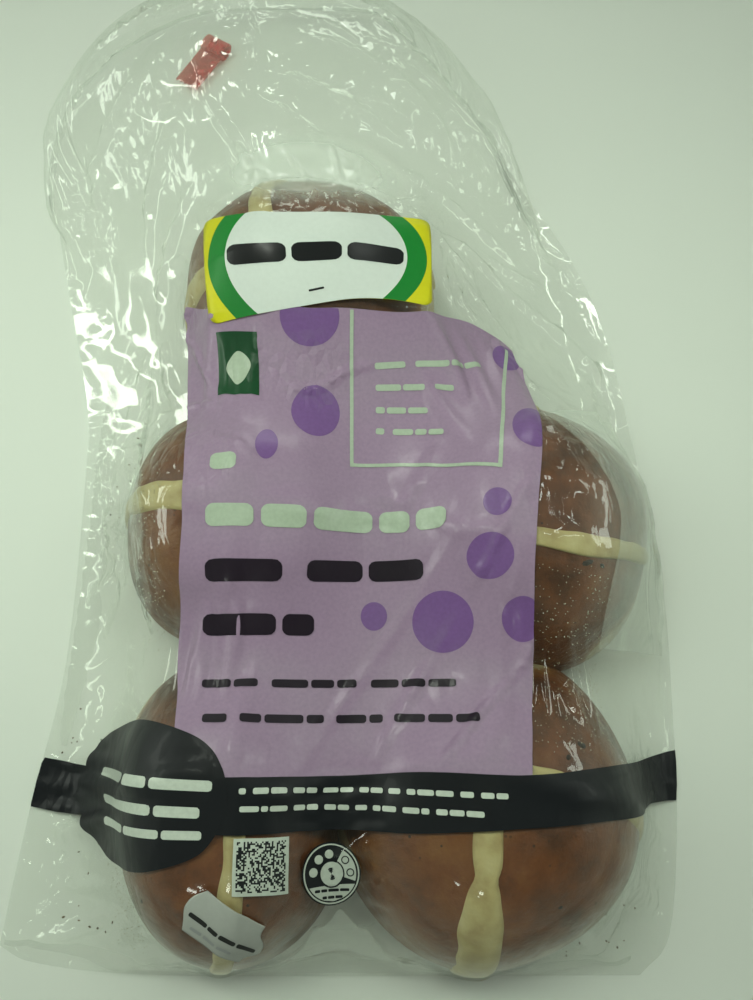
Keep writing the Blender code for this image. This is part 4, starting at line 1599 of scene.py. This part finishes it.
tint = (0.84, 1.0, 0.80)
skyKit = {"zenith": 0.06, "horizon": 0.42}
lamps = {
    # small bright lamps make the glints; two wide ones, unseen in reflections, light the rest softly
    "keySoftbox": dict(place=(-0.35, 0.42, 0.85), size=(0.05, 0.30), power=0.85, colour=(0.93, 1.0, 0.88)),
    "rightStrip": dict(place=(0.50, 0.25, 0.75), size=(0.03, 0.40), power=0.35, colour=(0.93, 1.0, 0.92)),
    "frontStrip": dict(place=(-0.15, -0.62, 0.70), size=(0.22, 0.04), power=0.30, colour=(0.93, 1.0, 0.90)),
    "overheadFill": dict(
        place=(-0.13, 0.012, 0.33), target=(-0.13, 0.012, 0), size=(0.80, 0.10), power=1.30, colour=tint,
        hidden="visible_glossy"),
    "highFill": dict(place=(0, 0, 2.2), size=(2.6, 2.6), power=1.5, colour=tint, hidden="visible_glossy"),
    # low strips that only the film's slanting folds mirror towards the camera
    "glintLeft": dict(
        place=(-0.85, 0.15, 0.42), size=(0.70, 0.14), power=2.0, colour=(0.92, 1.0, 0.88),
        hidden="visible_diffuse"),
    "glintBack": dict(
        place=(0.05, 0.95, 0.45), size=(0.80, 0.14), power=1.8, colour=(0.92, 1.0, 0.88),
        hidden="visible_diffuse"),
    "glintRight": dict(
        place=(0.85, 0.10, 0.42), size=(0.60, 0.11), power=1.0, colour=(0.92, 1.0, 0.88),
        hidden="visible_diffuse"),
}


def makeLights():
    world = bpy.data.worlds.new("studio")
    world.use_nodes = True
    tree = world.node_tree
    place = addNode(tree, "ShaderNodeTexCoord")
    parts = addNode(tree, "ShaderNodeSeparateXYZ")
    tree.links.new(place.outputs["Generated"], parts.inputs["Vector"])
    low = tuple(channel * skyKit["horizon"] for channel in tint)
    high = tuple(channel * skyKit["zenith"] for channel in tint)
    sky = ramp(tree, parts.outputs["Z"], [(0.10, low), (0.75, high)])
    tree.links.new(sky, tree.nodes["Background"].inputs["Color"])
    bpy.context.scene.world = world
    for name, kit in lamps.items():
        target = kit.get("target", (0, 0, 0))
        lamp = addLight(name, kit["place"], target, kit["size"], kit["power"], kit["colour"])
        if "hidden" in kit:
            setattr(lamp, kit["hidden"], False)


cameraKit = {
    "target": (0.015, -0.029, 0.0),
    "elevation": 75.0,
    "distance": 0.268,
    "lens": 18.05,
    "sensor": 24.0,
}


def makeCamera():
    data = bpy.data.cameras.new("camera")
    data.sensor_fit = "VERTICAL"
    data.sensor_height = cameraKit["sensor"]
    data.lens = cameraKit["lens"]
    data.clip_start = 0.01
    camera = bpy.data.objects.new("camera", data)
    up = math.radians(cameraKit["elevation"])
    target = Vector(cameraKit["target"])
    camera.location = target + cameraKit["distance"] * Vector((0.0, -math.cos(up), math.sin(up)))
    camera.rotation_euler = (math.radians(90) - up, 0.0, 0.0)
    bpy.context.scene.collection.objects.link(camera)
    bpy.context.scene.camera = camera


def dressTape():
    # the CAD tape keeps its shape and gets a thin red plastic that lets some light through
    material, tree, output = newMaterial("redTape")
    shader = addNode(tree, "ShaderNodeBsdfPrincipled")
    stops = [(0.35, (0.46, 0.075, 0.068)), (0.65, (0.78, 0.095, 0.090))]
    tree.links.new(ramp(tree, objectNoise(tree, 190.0, 3.0), stops), shader.inputs["Base Color"])
    shader.inputs["Roughness"].default_value = 0.34
    tree.links.new(creaseBump(tree, 300.0, 0.0004), shader.inputs["Normal"])
    through = surface(tree, "ShaderNodeBsdfTransparent", (0.95, 0.72, 0.68))
    thin = mixed(tree, 0.56, shader.outputs["BSDF"], through)
    tree.links.new(thin, output.inputs["Surface"])
    tape = bpy.data.objects["neck_tape"]
    for slot in tape.material_slots:
        slot.material = material


dressTape()
makeStage()
makeLights()
makeCamera()
bpy.context.scene.view_settings.view_transform = "Standard"
